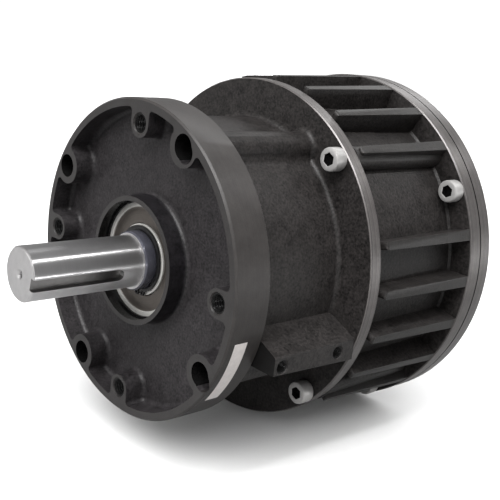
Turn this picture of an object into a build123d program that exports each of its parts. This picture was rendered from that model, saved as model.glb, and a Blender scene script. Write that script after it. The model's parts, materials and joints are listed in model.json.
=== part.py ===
from build123d import *
import os
from math import cos, radians, sin

# Enclosed, flange mounted friction clutch, worked by compressed air.
# The shaft axis is the Y axis. The output shaft points to -Y and the motor end to +Y, with +Z up.
# The origin is on the axis, in the face that the driven machine bolts to. All lengths are in mm.
# Angles about the axis grow from +X towards +Z.

# Output shaft
SHAFT_DIAMETER = 34.925
SHAFT_REACH = 79.25
SHAFT_END_CHAMFER = 0.9
CENTRE_HOLE_DIAMETER = 4.0
CENTRE_HOLE_DEPTH = 7.0
KEY_WIDTH = 7.94
KEY_DEPTH = 4.0
KEYWAY_LENGTH = 64.3
KEYWAY_ANGLE = -10.0
SHAFT_SHOULDER_DIAMETER = 48.0
SHAFT_TAIL_DIAMETER = 38.0
SHAFT_TAIL_LENGTH = 32.0
DRUM_KEY_WIDTH = 8.0
DRUM_KEY_HEIGHT = 7.0
DRUM_KEY_LENGTH = 22.0
COLLAR_CHAMFER = 1.0

# Front flange of the output housing, with its cast recess
PILOT_DIAMETER = 215.9
PILOT_LENGTH = 28.2
PILOT_CHAMFER = 1.2
RIM_WIDTH = 5.9
RECESS_DEPTH = 15.5
RECESS_CORNER_RADIUS = 3.0
RECESS_FLOOR_RADIUS = 3.5
BOLT_CIRCLE_DIAMETER = 184.15
TAPPED_HOLE_DIAMETER = 12.7
TAPPED_HOLE_DEPTH = 24.0
TAPPED_BOSS_DIAMETER = 18.8
FIRST_TAPPED_ANGLE = 0.0
PLAIN_HOLE_CIRCLE_DIAMETER = 193.6
PLAIN_HOLE_DIAMETER = 16.4
PLAIN_HOLE_DEPTH = 30.0
PLAIN_HOLE_WALL = 4.8
PLAIN_HOLE_ANGLES = (61.5, 150.4, 239.7, 329.4)
RELIEF_HOLES = (0, 3)
RELIEF_DIAMETER = 14.2
RELIEF_SHIFT = 4.0
RELIEF_DIRECTION = -50.0

# Bearing hub of the output housing
HUB_DIAMETER = 87.0
HUB_SETBACK = 1.0
HUB_MOUTH_CLEARANCE = 0.2
LIP_OVERLAP = 1.2
LIP_LENGTH = 1.5

# Two shaft bearings, alike
BEARING_BORE = 40.0
BEARING_OUTSIDE = 80.0
BEARING_WIDTH = 18.0
BEARING_START = 10.0
BEARING_GAP = 20.0
RACE_WALL = 4.4
SHIELD_SETBACK = 0.8
SHIELD_THICKNESS = 0.6
BALL_ROW_WIDTH = 9.0
RACE_CLEARANCE = 0.3
SHAFT_RING_THICKNESS = 1.75
SHAFT_RING_WALL = 4.2
BORE_RING_THICKNESS = 2.5
BORE_RING_WALL = 5.5
RING_GROOVE_DEPTH = 1.5
RING_GAP_ANGLE = 24.0
BORE_RING_GAP_AT = 90.0

# Barrel, axial bosses and mid flange of the output housing
BARREL_DIAMETER = 193.0
BARREL_WALL = 8.5
CYLINDER_WALL = 12.5
CYLINDER_BOTTOM = 34.0
SLEEVE_WALL = 9.0
AXIAL_BOSS_DIAMETER = 21.4
AXIAL_BOSS_CIRCLE_DIAMETER = 194.6
FIRST_AXIAL_BOSS_ANGLE = 60.0
CASTING_FILLET = 3.5
MID_FLANGE_START = 101.4
MID_FLANGE_THICKNESS = 10.2
MID_FLANGE_HEIGHT = 11.0
MID_FLANGE_CHAMFER = 0.8
SPIGOT_LENGTH = 3.0
SPIGOT_CLEARANCE = 0.15
SPIGOT_WALL = 4.5

# Air block on the side of the barrel
BLOCK_REACH = 118.4
BLOCK_TOP = -30.8
BLOCK_FRONT_HEIGHT = 12.2
BLOCK_REAR_HEIGHT = 15.0
BLOCK_SLOPE = 24.3
BLOCK_ROOT = 84.5
BLOCK_ROUNDING = 1.2
PORT_DIAMETER = 8.8
PORT_DEPTH = 15.0
PORT_STATIONS = (35.2, 86.1)
PORT_DROP = 7.0
AIRWAY_OVERLAP = 1.5
AIRWAY_DIAMETER = 4.0

# Piston and its seals
PISTON_START = 40.0
PISTON_LENGTH = 22.0
PISTON_CLEARANCE = 0.08
PISTON_CORNER = 1.5
SEAL_SECTION = 4.0
SEAL_STATION = 10.0
ENGAGE_STROKE = 2.3

# Needle thrust bearing between the piston and the push ring
THRUST_INNER_GAP = 7.0
THRUST_OUTER_GAP = 6.0
THRUST_WASHER_THICKNESS = 3.0
ROLLER_DIAMETER = 4.0
CAGE_RIM = 3.5
CAGE_EDGE = 1.0
ROLLER_COUNT = 20
CAGE_THICKNESS = 2.4
ROLLER_CLEARANCE = 0.15

# Push ring and pressure plate
PUSH_RING_THICKNESS = 8.0
PUSH_PIN_DIAMETER = 10.0
PUSH_PIN_COUNT = 6
PUSH_PIN_SHIFT = 3.0
PUSH_PIN_CLEARANCE = 0.5
PLATE_THICKNESS = 10.0
PLATE_BORE = 80.0
PLATE_GAP = 2.5

# Output drum, which carries the friction pack
DRUM_WEB_START = 113.6
DRUM_WEB_THICKNESS = 8.0
DRUM_SIDE_GAP = 6.0
DRUM_WALL = 4.5
DRUM_HUB_DIAMETER = 62.0
DRUM_HUB_GAP = 0.3
DRUM_CLEARANCE = 0.6
LUG_COUNT = 6
FIRST_LUG_ANGLE = 30.0
LUG_WIDTH = 18.0
LUG_DEPTH = 2.6
LUG_CLEARANCE = 0.4
LUG_ROOT_LENGTH = 30.0

# Friction disc
FACING_INNER_DIAMETER = 100.0
FACING_SIDE_GAP = 2.5
FACING_THICKNESS = 4.0
CORE_THICKNESS = 4.0
DISC_GAP = 1.25
DISC_HUB_WALL = 6.0
SPLINE_DIAMETER = 60.0
SPLINE_TEETH = 12
SPLINE_HEIGHT = 2.4
SPLINE_TOOTH_ANGLE = 15.0
SPLINE_CLEARANCE = 0.06

# Reaction plate, release springs and drum screws
REACTION_THICKNESS = 12.0
REACTION_BORE = 96.0
SPRING_COUNT = 6
SPRING_WALL_GAP = 4.0
SPRING_DIAMETER = 8.0
SPRING_BORE = 5.2
SPRING_CLEARANCE = 0.1
SPRING_HOLD = 5.0
DRUM_SCREW_COUNT = 6
DRUM_SCREW_DIAMETER = 3.0
DRUM_SCREW_HEAD = 5.5
DRUM_SCREW_LENGTH = 16.0

# Input hub with its keyed bore, pilot bearing and main bearing
INPUT_BORE_DIAMETER = 34.95
INPUT_BORE_DEPTH = 80.0
INPUT_NOSE_DIAMETER = 20.0
INPUT_NOSE_LENGTH = 24.0
INPUT_HUB_START = 131.0
SPLINE_LENGTH = 20.0
INPUT_BODY_DIAMETER = 66.0
INPUT_TAIL_DIAMETER = 53.8
INPUT_HUB_SETBACK = 7.0
PILOT_BEARING_OUTSIDE = 47.0
PILOT_BEARING_WIDTH = 14.0
PILOT_RACE_WALL = 3.4
MAIN_BEARING_BORE = 55.0
MAIN_BEARING_OUTSIDE = 100.0
MAIN_BEARING_WIDTH = 21.0
MAIN_RACE_WALL = 5.5
MAIN_RING_THICKNESS = 2.0
SET_SCREW_DIAMETER = 8.0
SET_SCREW_LENGTH = 7.5
SET_SCREW_SETBACK = 10.0
SET_SCREW_ANGLES = (90.0, 0.0)
RUNNING_CLEARANCE = 0.02
END_SCREW_DIAMETER = 10.0
END_SCREW_LENGTH = 22.0
END_SCREW_HEAD_DIAMETER = 16.0
END_SCREW_HEAD_HEIGHT = 5.0
END_WASHER_THICKNESS = 3.0
END_WASHER_DIAMETER = 44.0

# Finned housing
HOUSING_OUTER_DIAMETER = 227.0
HOUSING_WALL = 8.5
HOUSING_WEB_START = 172.0
HOUSING_WEB_THICKNESS = 8.0
BEARING_HUB_WALL = 8.0
BEARING_LIP_LENGTH = 4.0
BEARING_LIP_OVERLAP = 3.5
REAR_FLANGE_START = 204.7
REAR_FLANGE_THICKNESS = 12.3
REAR_FLANGE_HEIGHT = 18.1
REAR_FLANGE_CHAMFER = 0.8
FIN_GAP = 3.0
FIN_FRONT_HEIGHT = 13.8
FIN_FRONT_THICKNESS = 5.6
FIN_REAR_THICKNESS = 8.0
FIN_ROUNDING = 2.0
FIN_STEPS = (15.0, 30.0, 45.0, 60.0, 75.0)
FIN_ROOT = 2.0

# Cap screws that join the housings, and the motor adapter ring
SCREW_DIAMETER = 10.0
SCREW_HEAD_DIAMETER = 16.0
SCREW_HEAD_HEIGHT = 10.0
SCREW_SOCKET_SIZE = 8.0
SCREW_SOCKET_DEPTH = 5.0
SCREW_HEAD_CHAMFER = 0.8
SCREW_HOLE_CLEARANCE = 0.1
HEAD_SEAT_CLEARANCE = 0.2
MID_SCREW_EDGE_DISTANCE = 7.7
MID_SCREW_LENGTH = 30.0
MID_SCREW_ANGLE = 45.0
MID_BOSS_DIAMETER = 16.4
REAR_SCREW_EDGE_DISTANCE = 7.7
REAR_SCREW_LENGTH = 22.0
REAR_SCREW_ANGLE = 30.0
ADAPTER_THICKNESS = 12.5
ADAPTER_BORE = 116.0
ADAPTER_PILOT_DEPTH = 6.5
ADAPTER_PILOT_CLEARANCE = 0.1
ADAPTER_SPIGOT_LENGTH = 3.0
ADAPTER_SPIGOT_WALL = 5.0
ADAPTER_BOLT_HOLE_DIAMETER = 13.5
CORNERS = 4

# Places that follow from the sizes above
shaft_radius = SHAFT_DIAMETER / 2
pilot_radius = PILOT_DIAMETER / 2
barrel_radius = BARREL_DIAMETER / 2
housing_radius = HOUSING_OUTER_DIAMETER / 2
housing_bore = housing_radius - HOUSING_WALL
mid_flange_radius = housing_radius + MID_FLANGE_HEIGHT
rear_flange_radius = housing_radius + REAR_FLANGE_HEIGHT
mid_screw_radius = mid_flange_radius - MID_SCREW_EDGE_DISTANCE
rear_screw_radius = rear_flange_radius - REAR_SCREW_EDGE_DISTANCE
cylinder_radius = barrel_radius - CYLINDER_WALL
bearing_end = BEARING_START + BEARING_WIDTH
rear_bearing_start = bearing_end + BEARING_GAP
rear_bearing_end = rear_bearing_start + BEARING_WIDTH
bore_ring_end = rear_bearing_end + BORE_RING_THICKNESS
sleeve_radius = BEARING_OUTSIDE / 2 + SLEEVE_WALL
sleeve_end = bore_ring_end + 2 * RING_GROOVE_DEPTH
joint_plane = MID_FLANGE_START + MID_FLANGE_THICKNESS
piston_end = PISTON_START + PISTON_LENGTH
thrust_inner_radius = sleeve_radius + THRUST_INNER_GAP
thrust_outer_radius = cylinder_radius - THRUST_OUTER_GAP
roller_length = thrust_outer_radius - thrust_inner_radius - 2 * CAGE_RIM
push_pin_radius = (thrust_inner_radius + thrust_outer_radius) / 2 + PUSH_PIN_SHIFT
rollers_start = piston_end + THRUST_WASHER_THICKNESS
rollers_end = rollers_start + ROLLER_DIAMETER
push_ring_start = rollers_end + THRUST_WASHER_THICKNESS
push_ring_end = push_ring_start + PUSH_RING_THICKNESS
drum_web_end = DRUM_WEB_START + DRUM_WEB_THICKNESS
plate_start = drum_web_end + PLATE_GAP
plate_end = plate_start + PLATE_THICKNESS
disc_start = plate_end + DISC_GAP
disc_thickness = CORE_THICKNESS + 2 * FACING_THICKNESS
disc_end = disc_start + disc_thickness
reaction_start = disc_end + DISC_GAP
reaction_end = reaction_start + REACTION_THICKNESS
drum_radius = housing_bore - DRUM_SIDE_GAP
drum_inner_radius = drum_radius - DRUM_WALL
spring_circle_radius = drum_inner_radius - SPRING_WALL_GAP - SPRING_DIAMETER / 2
facing_outer_radius = spring_circle_radius - SPRING_DIAMETER / 2 - FACING_SIDE_GAP
drum_hub_start = rear_bearing_end + DRUM_HUB_GAP
shaft_end = rear_bearing_end + SHAFT_TAIL_LENGTH
end_washer_end = shaft_end + END_WASHER_THICKNESS
adapter_start = REAR_FLANGE_START + REAR_FLANGE_THICKNESS
adapter_end = adapter_start + ADAPTER_THICKNESS
input_end = adapter_end - INPUT_HUB_SETBACK
nose_start = INPUT_HUB_START - INPUT_NOSE_LENGTH
main_bearing_start = HOUSING_WEB_START + BEARING_LIP_LENGTH
main_bearing_end = main_bearing_start + MAIN_BEARING_WIDTH
main_ring_end = main_bearing_end + MAIN_RING_THICKNESS
bearing_hub_radius = MAIN_BEARING_OUTSIDE / 2 + BEARING_HUB_WALL
bearing_hub_end = main_ring_end + 2 * RING_GROOVE_DEPTH
fin_start = joint_plane + FIN_GAP
fin_front_radius = housing_radius + FIN_FRONT_HEIGHT
port_height = BLOCK_TOP - PORT_DROP


def turned(*points):
    """A solid turned about the axis from (radius, station) points."""
    return revolve(make_face(Polyline(*points, close=True)), Axis.Y)


def ring(inner_radius, outer_radius, start, end):
    """A plain ring about the axis."""
    return turned((inner_radius, start), (outer_radius, start), (outer_radius, end), (inner_radius, end))


def rod(radius, start, end, x=0.0, z=0.0):
    """A round bar parallel to the axis."""
    return Pos(x, (start + end) / 2, z) * Rot(90, 0, 0) * Cylinder(radius, end - start)


def polar(radius, angle):
    """The x and z of a point about the axis."""
    return radius * cos(radians(angle)), radius * sin(radians(angle))


def rod_at(radius, start, end, circle_radius, angle):
    """A round bar parallel to the axis, at a radius and an angle about it."""
    x, z = polar(circle_radius, angle)
    return rod(radius, start, end, x, z)


def evenly(count, first=0.0):
    """Angles of a pattern about the axis."""
    return [first + 360 / count * step for step in range(count)]


def turned_by(angle):
    """A turn about the axis that carries +X to the given angle."""
    return Rot(0, -angle, 0)


def joined(pieces):
    """Several separate solids as one compound."""
    return Compound(children=list(pieces))


def save(name, shape):
    """Writes one node."""
    shape.label = name
    export_step(shape, f"parts/{name}.step")


def split_ring(inner_radius, outer_radius, start, end, gap_angle, gap_at):
    """A retaining ring: a plain ring with a gap."""
    body = ring(inner_radius, outer_radius, start, end)
    reach = 2 * outer_radius
    half = radians(gap_angle / 2)
    wedge = make_face(Polyline((0, 0), (reach, -reach * sin(half)), (reach, reach * sin(half)), close=True))
    cutter = extrude(Plane.XZ * wedge, amount=-(end - start) * 3)
    return body - turned_by(gap_at) * Pos(0, start - (end - start), 0) * cutter


def bearing(name, bore, outside, width, start, wall):
    """A shielded ball bearing: two races, the caged ball row and two shields. Returns its solids by name."""
    inner, outer = bore / 2, outside / 2
    end = start + width
    middle = (start + end) / 2
    step = wall * 0.5
    shield_seat = outer - wall
    row = (inner + wall + RACE_CLEARANCE, outer - wall - RACE_CLEARANCE)
    shields = [
        ring(inner + wall + RACE_CLEARANCE, shield_seat, low, low + SHIELD_THICKNESS)
        for low in (start + SHIELD_SETBACK, end - SHIELD_SETBACK - SHIELD_THICKNESS)
    ]
    chamfer = step * 0.4
    return {
        f"{name}_inner_race": turned(
            (inner, start + chamfer), (inner + chamfer, start), (inner + wall, start),
            (inner + wall, end), (inner + chamfer, end), (inner, end - chamfer)),
        f"{name}_outer_race": turned(
            (outer - wall, start), (outer - chamfer, start), (outer, start + chamfer),
            (outer, end - chamfer), (outer - chamfer, end), (outer - wall, end)),
        f"{name}_ball_row": ring(*row, middle - BALL_ROW_WIDTH / 2, middle + BALL_ROW_WIDTH / 2),
        f"{name}_shields": joined(shields),
    }


def plain_hole_places():
    """Places of the plain holes in the front flange."""
    return [polar(PLAIN_HOLE_CIRCLE_DIAMETER / 2, angle) for angle in PLAIN_HOLE_ANGLES]


def relief_places():
    """Places of the shallow reliefs that widen two of the plain holes."""
    dx, dz = polar(RELIEF_SHIFT, RELIEF_DIRECTION)
    centres = plain_hole_places()
    return [(centres[number][0] + dx, centres[number][1] + dz) for number in RELIEF_HOLES]


def recess_tool():
    """The cast recess in the front flange: the space between rim, hub and bosses, with rounded corners."""
    inside = Circle(pilot_radius - RIM_WIDTH)
    region = inside - Circle(HUB_DIAMETER / 2)
    for angle in evenly(CORNERS, FIRST_TAPPED_ANGLE):
        x, z = polar(BOLT_CIRCLE_DIAMETER / 2, angle)
        region -= Pos(x, z) * Circle(TAPPED_BOSS_DIAMETER / 2)
        neck = Rectangle(BOLT_CIRCLE_DIAMETER / 2, TAPPED_BOSS_DIAMETER)
        region -= Rot(0, 0, angle) * Pos(BOLT_CIRCLE_DIAMETER * 3 / 4, 0) * neck
    for x, z in plain_hole_places():
        region -= Pos(x, z) * Circle(PLAIN_HOLE_DIAMETER / 2 + PLAIN_HOLE_WALL)
    rim_corners = [v for v in region.vertices() if Vector(v.X, v.Y).length > pilot_radius - RIM_WIDTH - 0.5]
    region = fillet(rim_corners, RECESS_CORNER_RADIUS)
    block = extrude(Plane((0, 0, 0), x_dir=(1, 0, 0), z_dir=(0, -1, 0)) * region, amount=-RECESS_DEPTH)
    floor = block.faces().sort_by(Axis.Y)[-1]
    return fillet(floor.edges(), RECESS_FLOOR_RADIUS)


def housing_section():
    """The turned form of the output housing, before its bosses, block and holes."""
    bearing_radius = BEARING_OUTSIDE / 2
    mouth = bearing_radius + HUB_MOUTH_CLEARANCE
    lip = bearing_radius - LIP_OVERLAP
    groove = bearing_radius + RING_GROOVE_DEPTH
    barrel_bore = barrel_radius - BARREL_WALL
    spigot = housing_bore - SPIGOT_CLEARANCE
    mid_radius = mid_flange_radius
    step = barrel_bore - cylinder_radius
    return turned(
        (mouth, HUB_SETBACK), (mouth, BEARING_START - LIP_LENGTH), (lip, BEARING_START - LIP_LENGTH),
        (lip, BEARING_START), (bearing_radius, BEARING_START), (bearing_radius, rear_bearing_end),
        (groove, rear_bearing_end), (groove, bore_ring_end), (bearing_radius, bore_ring_end),
        (bearing_radius, sleeve_end), (sleeve_radius, sleeve_end), (sleeve_radius, CYLINDER_BOTTOM),
        (cylinder_radius, CYLINDER_BOTTOM), (cylinder_radius, sleeve_end),
        (barrel_bore, sleeve_end + step), (barrel_bore, joint_plane), (spigot - SPIGOT_WALL, joint_plane),
        (spigot - SPIGOT_WALL, joint_plane + SPIGOT_LENGTH), (spigot, joint_plane + SPIGOT_LENGTH),
        (spigot, joint_plane), (mid_radius - MID_FLANGE_CHAMFER, joint_plane),
        (mid_radius, joint_plane - MID_FLANGE_CHAMFER), (mid_radius, MID_FLANGE_START + MID_FLANGE_CHAMFER),
        (mid_radius - MID_FLANGE_CHAMFER, MID_FLANGE_START), (barrel_radius, MID_FLANGE_START),
        (barrel_radius, PILOT_LENGTH), (pilot_radius - PILOT_CHAMFER, PILOT_LENGTH),
        (pilot_radius, PILOT_LENGTH - PILOT_CHAMFER), (pilot_radius, PILOT_CHAMFER),
        (pilot_radius - PILOT_CHAMFER, 0), (HUB_DIAMETER / 2, 0), (HUB_DIAMETER / 2, HUB_SETBACK))


def air_block():
    """The block on the side of the barrel that takes the air fittings, deeper towards the mid flange."""
    rise = (BLOCK_REACH - BLOCK_ROOT) * sin(radians(BLOCK_SLOPE)) / cos(radians(BLOCK_SLOPE))
    ends = []
    for station, height in ((PILOT_LENGTH, BLOCK_FRONT_HEIGHT), (MID_FLANGE_START, BLOCK_REAR_HEIGHT)):
        low = BLOCK_TOP - height
        outline = make_face(Polyline(
            (BLOCK_ROOT, BLOCK_TOP + rise), (BLOCK_REACH, BLOCK_TOP), (BLOCK_REACH, low), (BLOCK_ROOT, low),
            close=True))
        corners = [v for v in outline.vertices() if v.X > BLOCK_REACH - 1]
        ends.append(Plane.XZ.offset(-station) * fillet(corners, BLOCK_ROUNDING))
    return loft(ends)


def port_cuts():
    """The two tapped air ports in the block, and the airway from the front one to the cylinder."""
    cuts = []
    for station in PORT_STATIONS:
        at = Pos(BLOCK_REACH, station, port_height) * Rot(0, -90, 0)
        cuts.append(at * Pos(0, 0, PORT_DEPTH / 2) * Cylinder(PORT_DIAMETER / 2, PORT_DEPTH))
    length = BLOCK_REACH - (cylinder_radius ** 2 - port_height ** 2) ** 0.5 + AIRWAY_OVERLAP
    at = Pos(BLOCK_REACH, PORT_STATIONS[0], port_height) * Rot(0, -90, 0)
    cuts.append(at * Pos(0, 0, length / 2) * Cylinder(AIRWAY_DIAMETER / 2, length))
    return cuts


def casting_corners(body):
    """Edges of the output housing where its barrel and bosses run into the mid flange."""
    low, high = barrel_radius - 1, mid_flange_radius - 2 * MID_FLANGE_CHAMFER
    return [
        edge for edge in body.edges()
        if abs(edge.center().Y - MID_FLANGE_START) < 0.01 and abs(edge.bounding_box().size.Y) < 0.01
        and all(low < Vector(v.X, v.Z).length < high for v in edge.vertices())
    ]


def output_housing():
    """Front flange, bearing hub, barrel, axial bosses, air block and mid flange, one casting."""
    body = housing_section()
    for angle in evenly(CORNERS, FIRST_AXIAL_BOSS_ANGLE):
        body += rod_at(AXIAL_BOSS_DIAMETER / 2, PILOT_LENGTH - 1, MID_FLANGE_START + 1,
                       AXIAL_BOSS_CIRCLE_DIAMETER / 2, angle)
    body = fillet(casting_corners(body), CASTING_FILLET)
    body += air_block()
    barrel_bore = barrel_radius - BARREL_WALL
    body -= turned((0, sleeve_end), (cylinder_radius, sleeve_end),
                   (barrel_bore, sleeve_end + CYLINDER_WALL - BARREL_WALL), (barrel_bore, joint_plane),
                   (0, joint_plane))
    body -= recess_tool()
    for angle in evenly(CORNERS, FIRST_TAPPED_ANGLE):
        body -= rod_at(TAPPED_HOLE_DIAMETER / 2, -1, TAPPED_HOLE_DEPTH, BOLT_CIRCLE_DIAMETER / 2, angle)
    for x, z in plain_hole_places():
        body -= rod(PLAIN_HOLE_DIAMETER / 2, -1, PLAIN_HOLE_DEPTH, x, z)
    for x, z in relief_places():
        body -= rod(RELIEF_DIAMETER / 2, -1, RECESS_DEPTH, x, z)
    for cut in port_cuts():
        body -= cut
    for angle in evenly(CORNERS, MID_SCREW_ANGLE):
        body -= rod_at(SCREW_DIAMETER / 2 + SCREW_HOLE_CLEARANCE, MID_FLANGE_START - 1, joint_plane + 1,
                       mid_screw_radius, angle)
    return body


def output_shaft():
    """Keyed output shaft with its bearing seats, shoulder, ring groove and tail."""
    seat = BEARING_BORE / 2
    tail = SHAFT_TAIL_DIAMETER / 2
    groove = seat - RING_GROOVE_DEPTH
    ring_start = BEARING_START - SHAFT_RING_THICKNESS
    body = turned(
        (0, -SHAFT_REACH), (shaft_radius - SHAFT_END_CHAMFER, -SHAFT_REACH),
        (shaft_radius, -SHAFT_REACH + SHAFT_END_CHAMFER), (shaft_radius, 0), (seat - COLLAR_CHAMFER, 0),
        (seat, COLLAR_CHAMFER), (seat, ring_start), (groove, ring_start), (groove, BEARING_START),
        (seat, BEARING_START), (seat, bearing_end), (SHAFT_SHOULDER_DIAMETER / 2, bearing_end),
        (SHAFT_SHOULDER_DIAMETER / 2, rear_bearing_start), (seat, rear_bearing_start),
        (seat, rear_bearing_end), (tail, rear_bearing_end), (tail, shaft_end), (0, shaft_end))
    body -= keyway(shaft_radius, -SHAFT_REACH, KEYWAY_LENGTH, KEYWAY_ANGLE)
    body -= rod(CENTRE_HOLE_DIAMETER / 2, -SHAFT_REACH - 1, -SHAFT_REACH + CENTRE_HOLE_DEPTH)
    sink = CENTRE_HOLE_DIAMETER
    body -= turned((0, -SHAFT_REACH), (sink / 2 + 1.2, -SHAFT_REACH), (sink / 2, -SHAFT_REACH + 1.2),
                   (0, -SHAFT_REACH + 1.2))
    body -= rod(END_SCREW_DIAMETER / 2 + SCREW_HOLE_CLEARANCE, shaft_end - END_SCREW_LENGTH, shaft_end + 1)
    body -= drum_key(RUNNING_CLEARANCE)
    return body


def drum_key(spare):
    """Key between the shaft's tail and the drum's hub, or with spare room the space it needs."""
    half = DRUM_KEY_HEIGHT / 2
    middle = drum_hub_start + 2 + DRUM_KEY_LENGTH / 2
    block = Box(DRUM_KEY_HEIGHT + 2 * spare, DRUM_KEY_LENGTH + 2 * spare, DRUM_KEY_WIDTH + 2 * spare)
    return Pos(SHAFT_TAIL_DIAMETER / 2 - DRUM_KEY_HEIGHT * 0.55 + half, middle, 0) * block


def keyway(radius, start, length, angle):
    """A keyway open at its start, with a round closed end."""
    floor = radius - KEY_DEPTH
    height = 2 * KEY_DEPTH
    run = length - KEY_WIDTH / 2
    slot = Pos(floor + height / 2, start + run / 2 - 1, 0) * Box(height, run + 2, KEY_WIDTH)
    end = Pos(floor + height / 2, start + run, 0) * Rot(0, 90, 0) * Cylinder(KEY_WIDTH / 2, height)
    return turned_by(angle) * (slot + end)


def shaft_ring():
    """Retaining ring on the shaft, in front of the front bearing, with its two eyes at the gap."""
    seat = BEARING_BORE / 2
    start = BEARING_START - SHAFT_RING_THICKNESS
    inner = seat - RING_GROOVE_DEPTH + RUNNING_CLEARANCE
    outer = seat + SHAFT_RING_WALL
    gap_at = -78.0
    body = split_ring(inner, outer, start, BEARING_START, RING_GAP_ANGLE, gap_at)
    for side in (-1, 1):
        angle = gap_at + side * (RING_GAP_ANGLE / 2 + 6)
        eye = rod_at(3.0, start, BEARING_START, outer - 1.2, angle)
        hole = rod_at(1.25, start - 1, BEARING_START + 1, outer - 1.0, angle)
        body = body + eye - hole
    return body


def bore_ring(bore_radius, start, thickness, wall, gap_at=BORE_RING_GAP_AT):
    """Retaining ring sprung into a groove of a bore."""
    outer = bore_radius + RING_GROOVE_DEPTH - RUNNING_CLEARANCE
    return split_ring(bore_radius - wall, outer, start, start + thickness, RING_GAP_ANGLE, gap_at)


def piston():
    """Ring piston with two seal grooves."""
    inner = sleeve_radius + PISTON_CLEARANCE
    outer = cylinder_radius - PISTON_CLEARANCE
    low = PISTON_START + SEAL_STATION
    high = low + SEAL_SECTION
    depth = SEAL_SECTION * 0.8
    return turned(
        (inner, PISTON_START), (outer - PISTON_CORNER, PISTON_START), (outer, PISTON_START + PISTON_CORNER),
        (outer, low), (outer - depth, low), (outer - depth, high), (outer, high), (outer, piston_end),
        (inner, piston_end), (inner, high), (inner + depth, high), (inner + depth, low), (inner, low))


def seal(radius, side):
    """A seal ring in a piston groove, on the outside (side 1) or the inside (side -1)."""
    low = PISTON_START + SEAL_STATION + PISTON_CLEARANCE
    high = low + SEAL_SECTION - 2 * PISTON_CLEARANCE
    depth = SEAL_SECTION * 0.8 - PISTON_CLEARANCE
    near = radius - side * RUNNING_CLEARANCE
    far = radius - side * depth
    return ring(min(near, far), max(near, far), low, high)


def thrust_bearing():
    """Needle thrust bearing: two washers, a cage and its rollers."""
    inner, outer = thrust_inner_radius, thrust_outer_radius
    middle = (rollers_start + rollers_end) / 2
    reach = (inner + outer) / 2
    half = CAGE_THICKNESS / 2
    cage = ring(inner + CAGE_EDGE, outer - CAGE_EDGE, middle - half, middle + half)
    rollers = []
    for angle in evenly(ROLLER_COUNT):
        window = Box(roller_length + 2 * ROLLER_CLEARANCE, CAGE_THICKNESS * 2,
                     ROLLER_DIAMETER + 2 * ROLLER_CLEARANCE)
        cage -= turned_by(angle) * Pos(reach, middle, 0) * window
        roller = Rot(0, 90, 0) * Cylinder(ROLLER_DIAMETER / 2 - RUNNING_CLEARANCE, roller_length)
        rollers.append(turned_by(angle) * Pos(reach, middle, 0) * roller)
    return {
        "thrust_washer_fixed": ring(inner, outer, piston_end, rollers_start),
        "thrust_rollers": joined(rollers),
        "thrust_cage": cage,
        "thrust_washer_turning": ring(inner, outer, rollers_end, push_ring_start),
    }


def push_ring():
    """Ring with pins that carries the piston's force through the drum web to the pressure plate."""
    body = ring(thrust_inner_radius, thrust_outer_radius, push_ring_start, push_ring_end)
    for angle in evenly(PUSH_PIN_COUNT):
        body += rod_at(PUSH_PIN_DIAMETER / 2, push_ring_end - 1, plate_start, push_pin_radius, angle)
    return body


def lug_boxes(start, end, inner_radius, outer_radius, width):
    """Driving lugs, as boxes about the axis."""
    height = outer_radius - inner_radius
    return [
        turned_by(angle) * Pos(inner_radius + height / 2, (start + end) / 2, 0)
        * Box(height, end - start, width)
        for angle in evenly(LUG_COUNT, FIRST_LUG_ANGLE)
    ]


def output_drum():
    """Hub, web and shell that carry the pressure plate and the reaction plate."""
    tail = SHAFT_TAIL_DIAMETER / 2 + RUNNING_CLEARANCE
    pocket = PILOT_BEARING_OUTSIDE / 2
    outer = drum_radius
    hub = DRUM_HUB_DIAMETER / 2
    body = turned(
        (tail, drum_hub_start), (hub, drum_hub_start), (hub, DRUM_WEB_START), (outer, DRUM_WEB_START),
        (outer, reaction_start), (drum_inner_radius, reaction_start), (drum_inner_radius, drum_web_end),
        (pocket, drum_web_end), (pocket, shaft_end), (tail, shaft_end))
    for angle in evenly(PUSH_PIN_COUNT):
        body -= rod_at(PUSH_PIN_DIAMETER / 2 + PUSH_PIN_CLEARANCE, DRUM_WEB_START - 1, drum_web_end + 1,
                       push_pin_radius, angle)
    for box in lug_boxes(plate_start - 1, reaction_start + 1, drum_inner_radius - 1,
                         drum_inner_radius + LUG_DEPTH + LUG_CLEARANCE, LUG_WIDTH + 2 * LUG_CLEARANCE):
        body -= box
    for x, z in drum_screw_places():
        body -= rod(DRUM_SCREW_DIAMETER / 2 + SCREW_HOLE_CLEARANCE,
                    reaction_end - DRUM_SCREW_LENGTH - 1, reaction_start + 1, x, z)
    groove = SHAFT_TAIL_DIAMETER / 2 + DRUM_KEY_HEIGHT * 0.45 + RUNNING_CLEARANCE
    slot = Box(groove, shaft_end - drum_hub_start + 1, DRUM_KEY_WIDTH + 2 * RUNNING_CLEARANCE)
    body -= Pos(groove / 2, (drum_hub_start + shaft_end) / 2, 0) * slot
    return body


def drum_screw_places():
    """Places of the screws that hold the reaction plate on the drum shell, between the lug slots."""
    radius = drum_inner_radius + DRUM_WALL / 2
    return [polar(radius, angle) for angle in evenly(DRUM_SCREW_COUNT, 0)]


def pressure_plate():
    """Sliding plate with driving lugs."""
    body = ring(PLATE_BORE / 2, drum_inner_radius - DRUM_CLEARANCE, plate_start, plate_end)
    root = drum_inner_radius - LUG_ROOT_LENGTH
    for box in lug_boxes(plate_start, plate_end, root, drum_inner_radius + LUG_DEPTH, LUG_WIDTH):
        body += box
    return body


def spline_teeth(radius, start, end, height):
    """Straight teeth standing out of a round hub."""
    half = radius * sin(radians(SPLINE_TOOTH_ANGLE / 2))
    return [
        turned_by(angle) * Pos(radius + height / 2 - 1, (start + end) / 2, 0)
        * Box(height + 2, end - start, 2 * half)
        for angle in evenly(SPLINE_TEETH)
    ]


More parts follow.
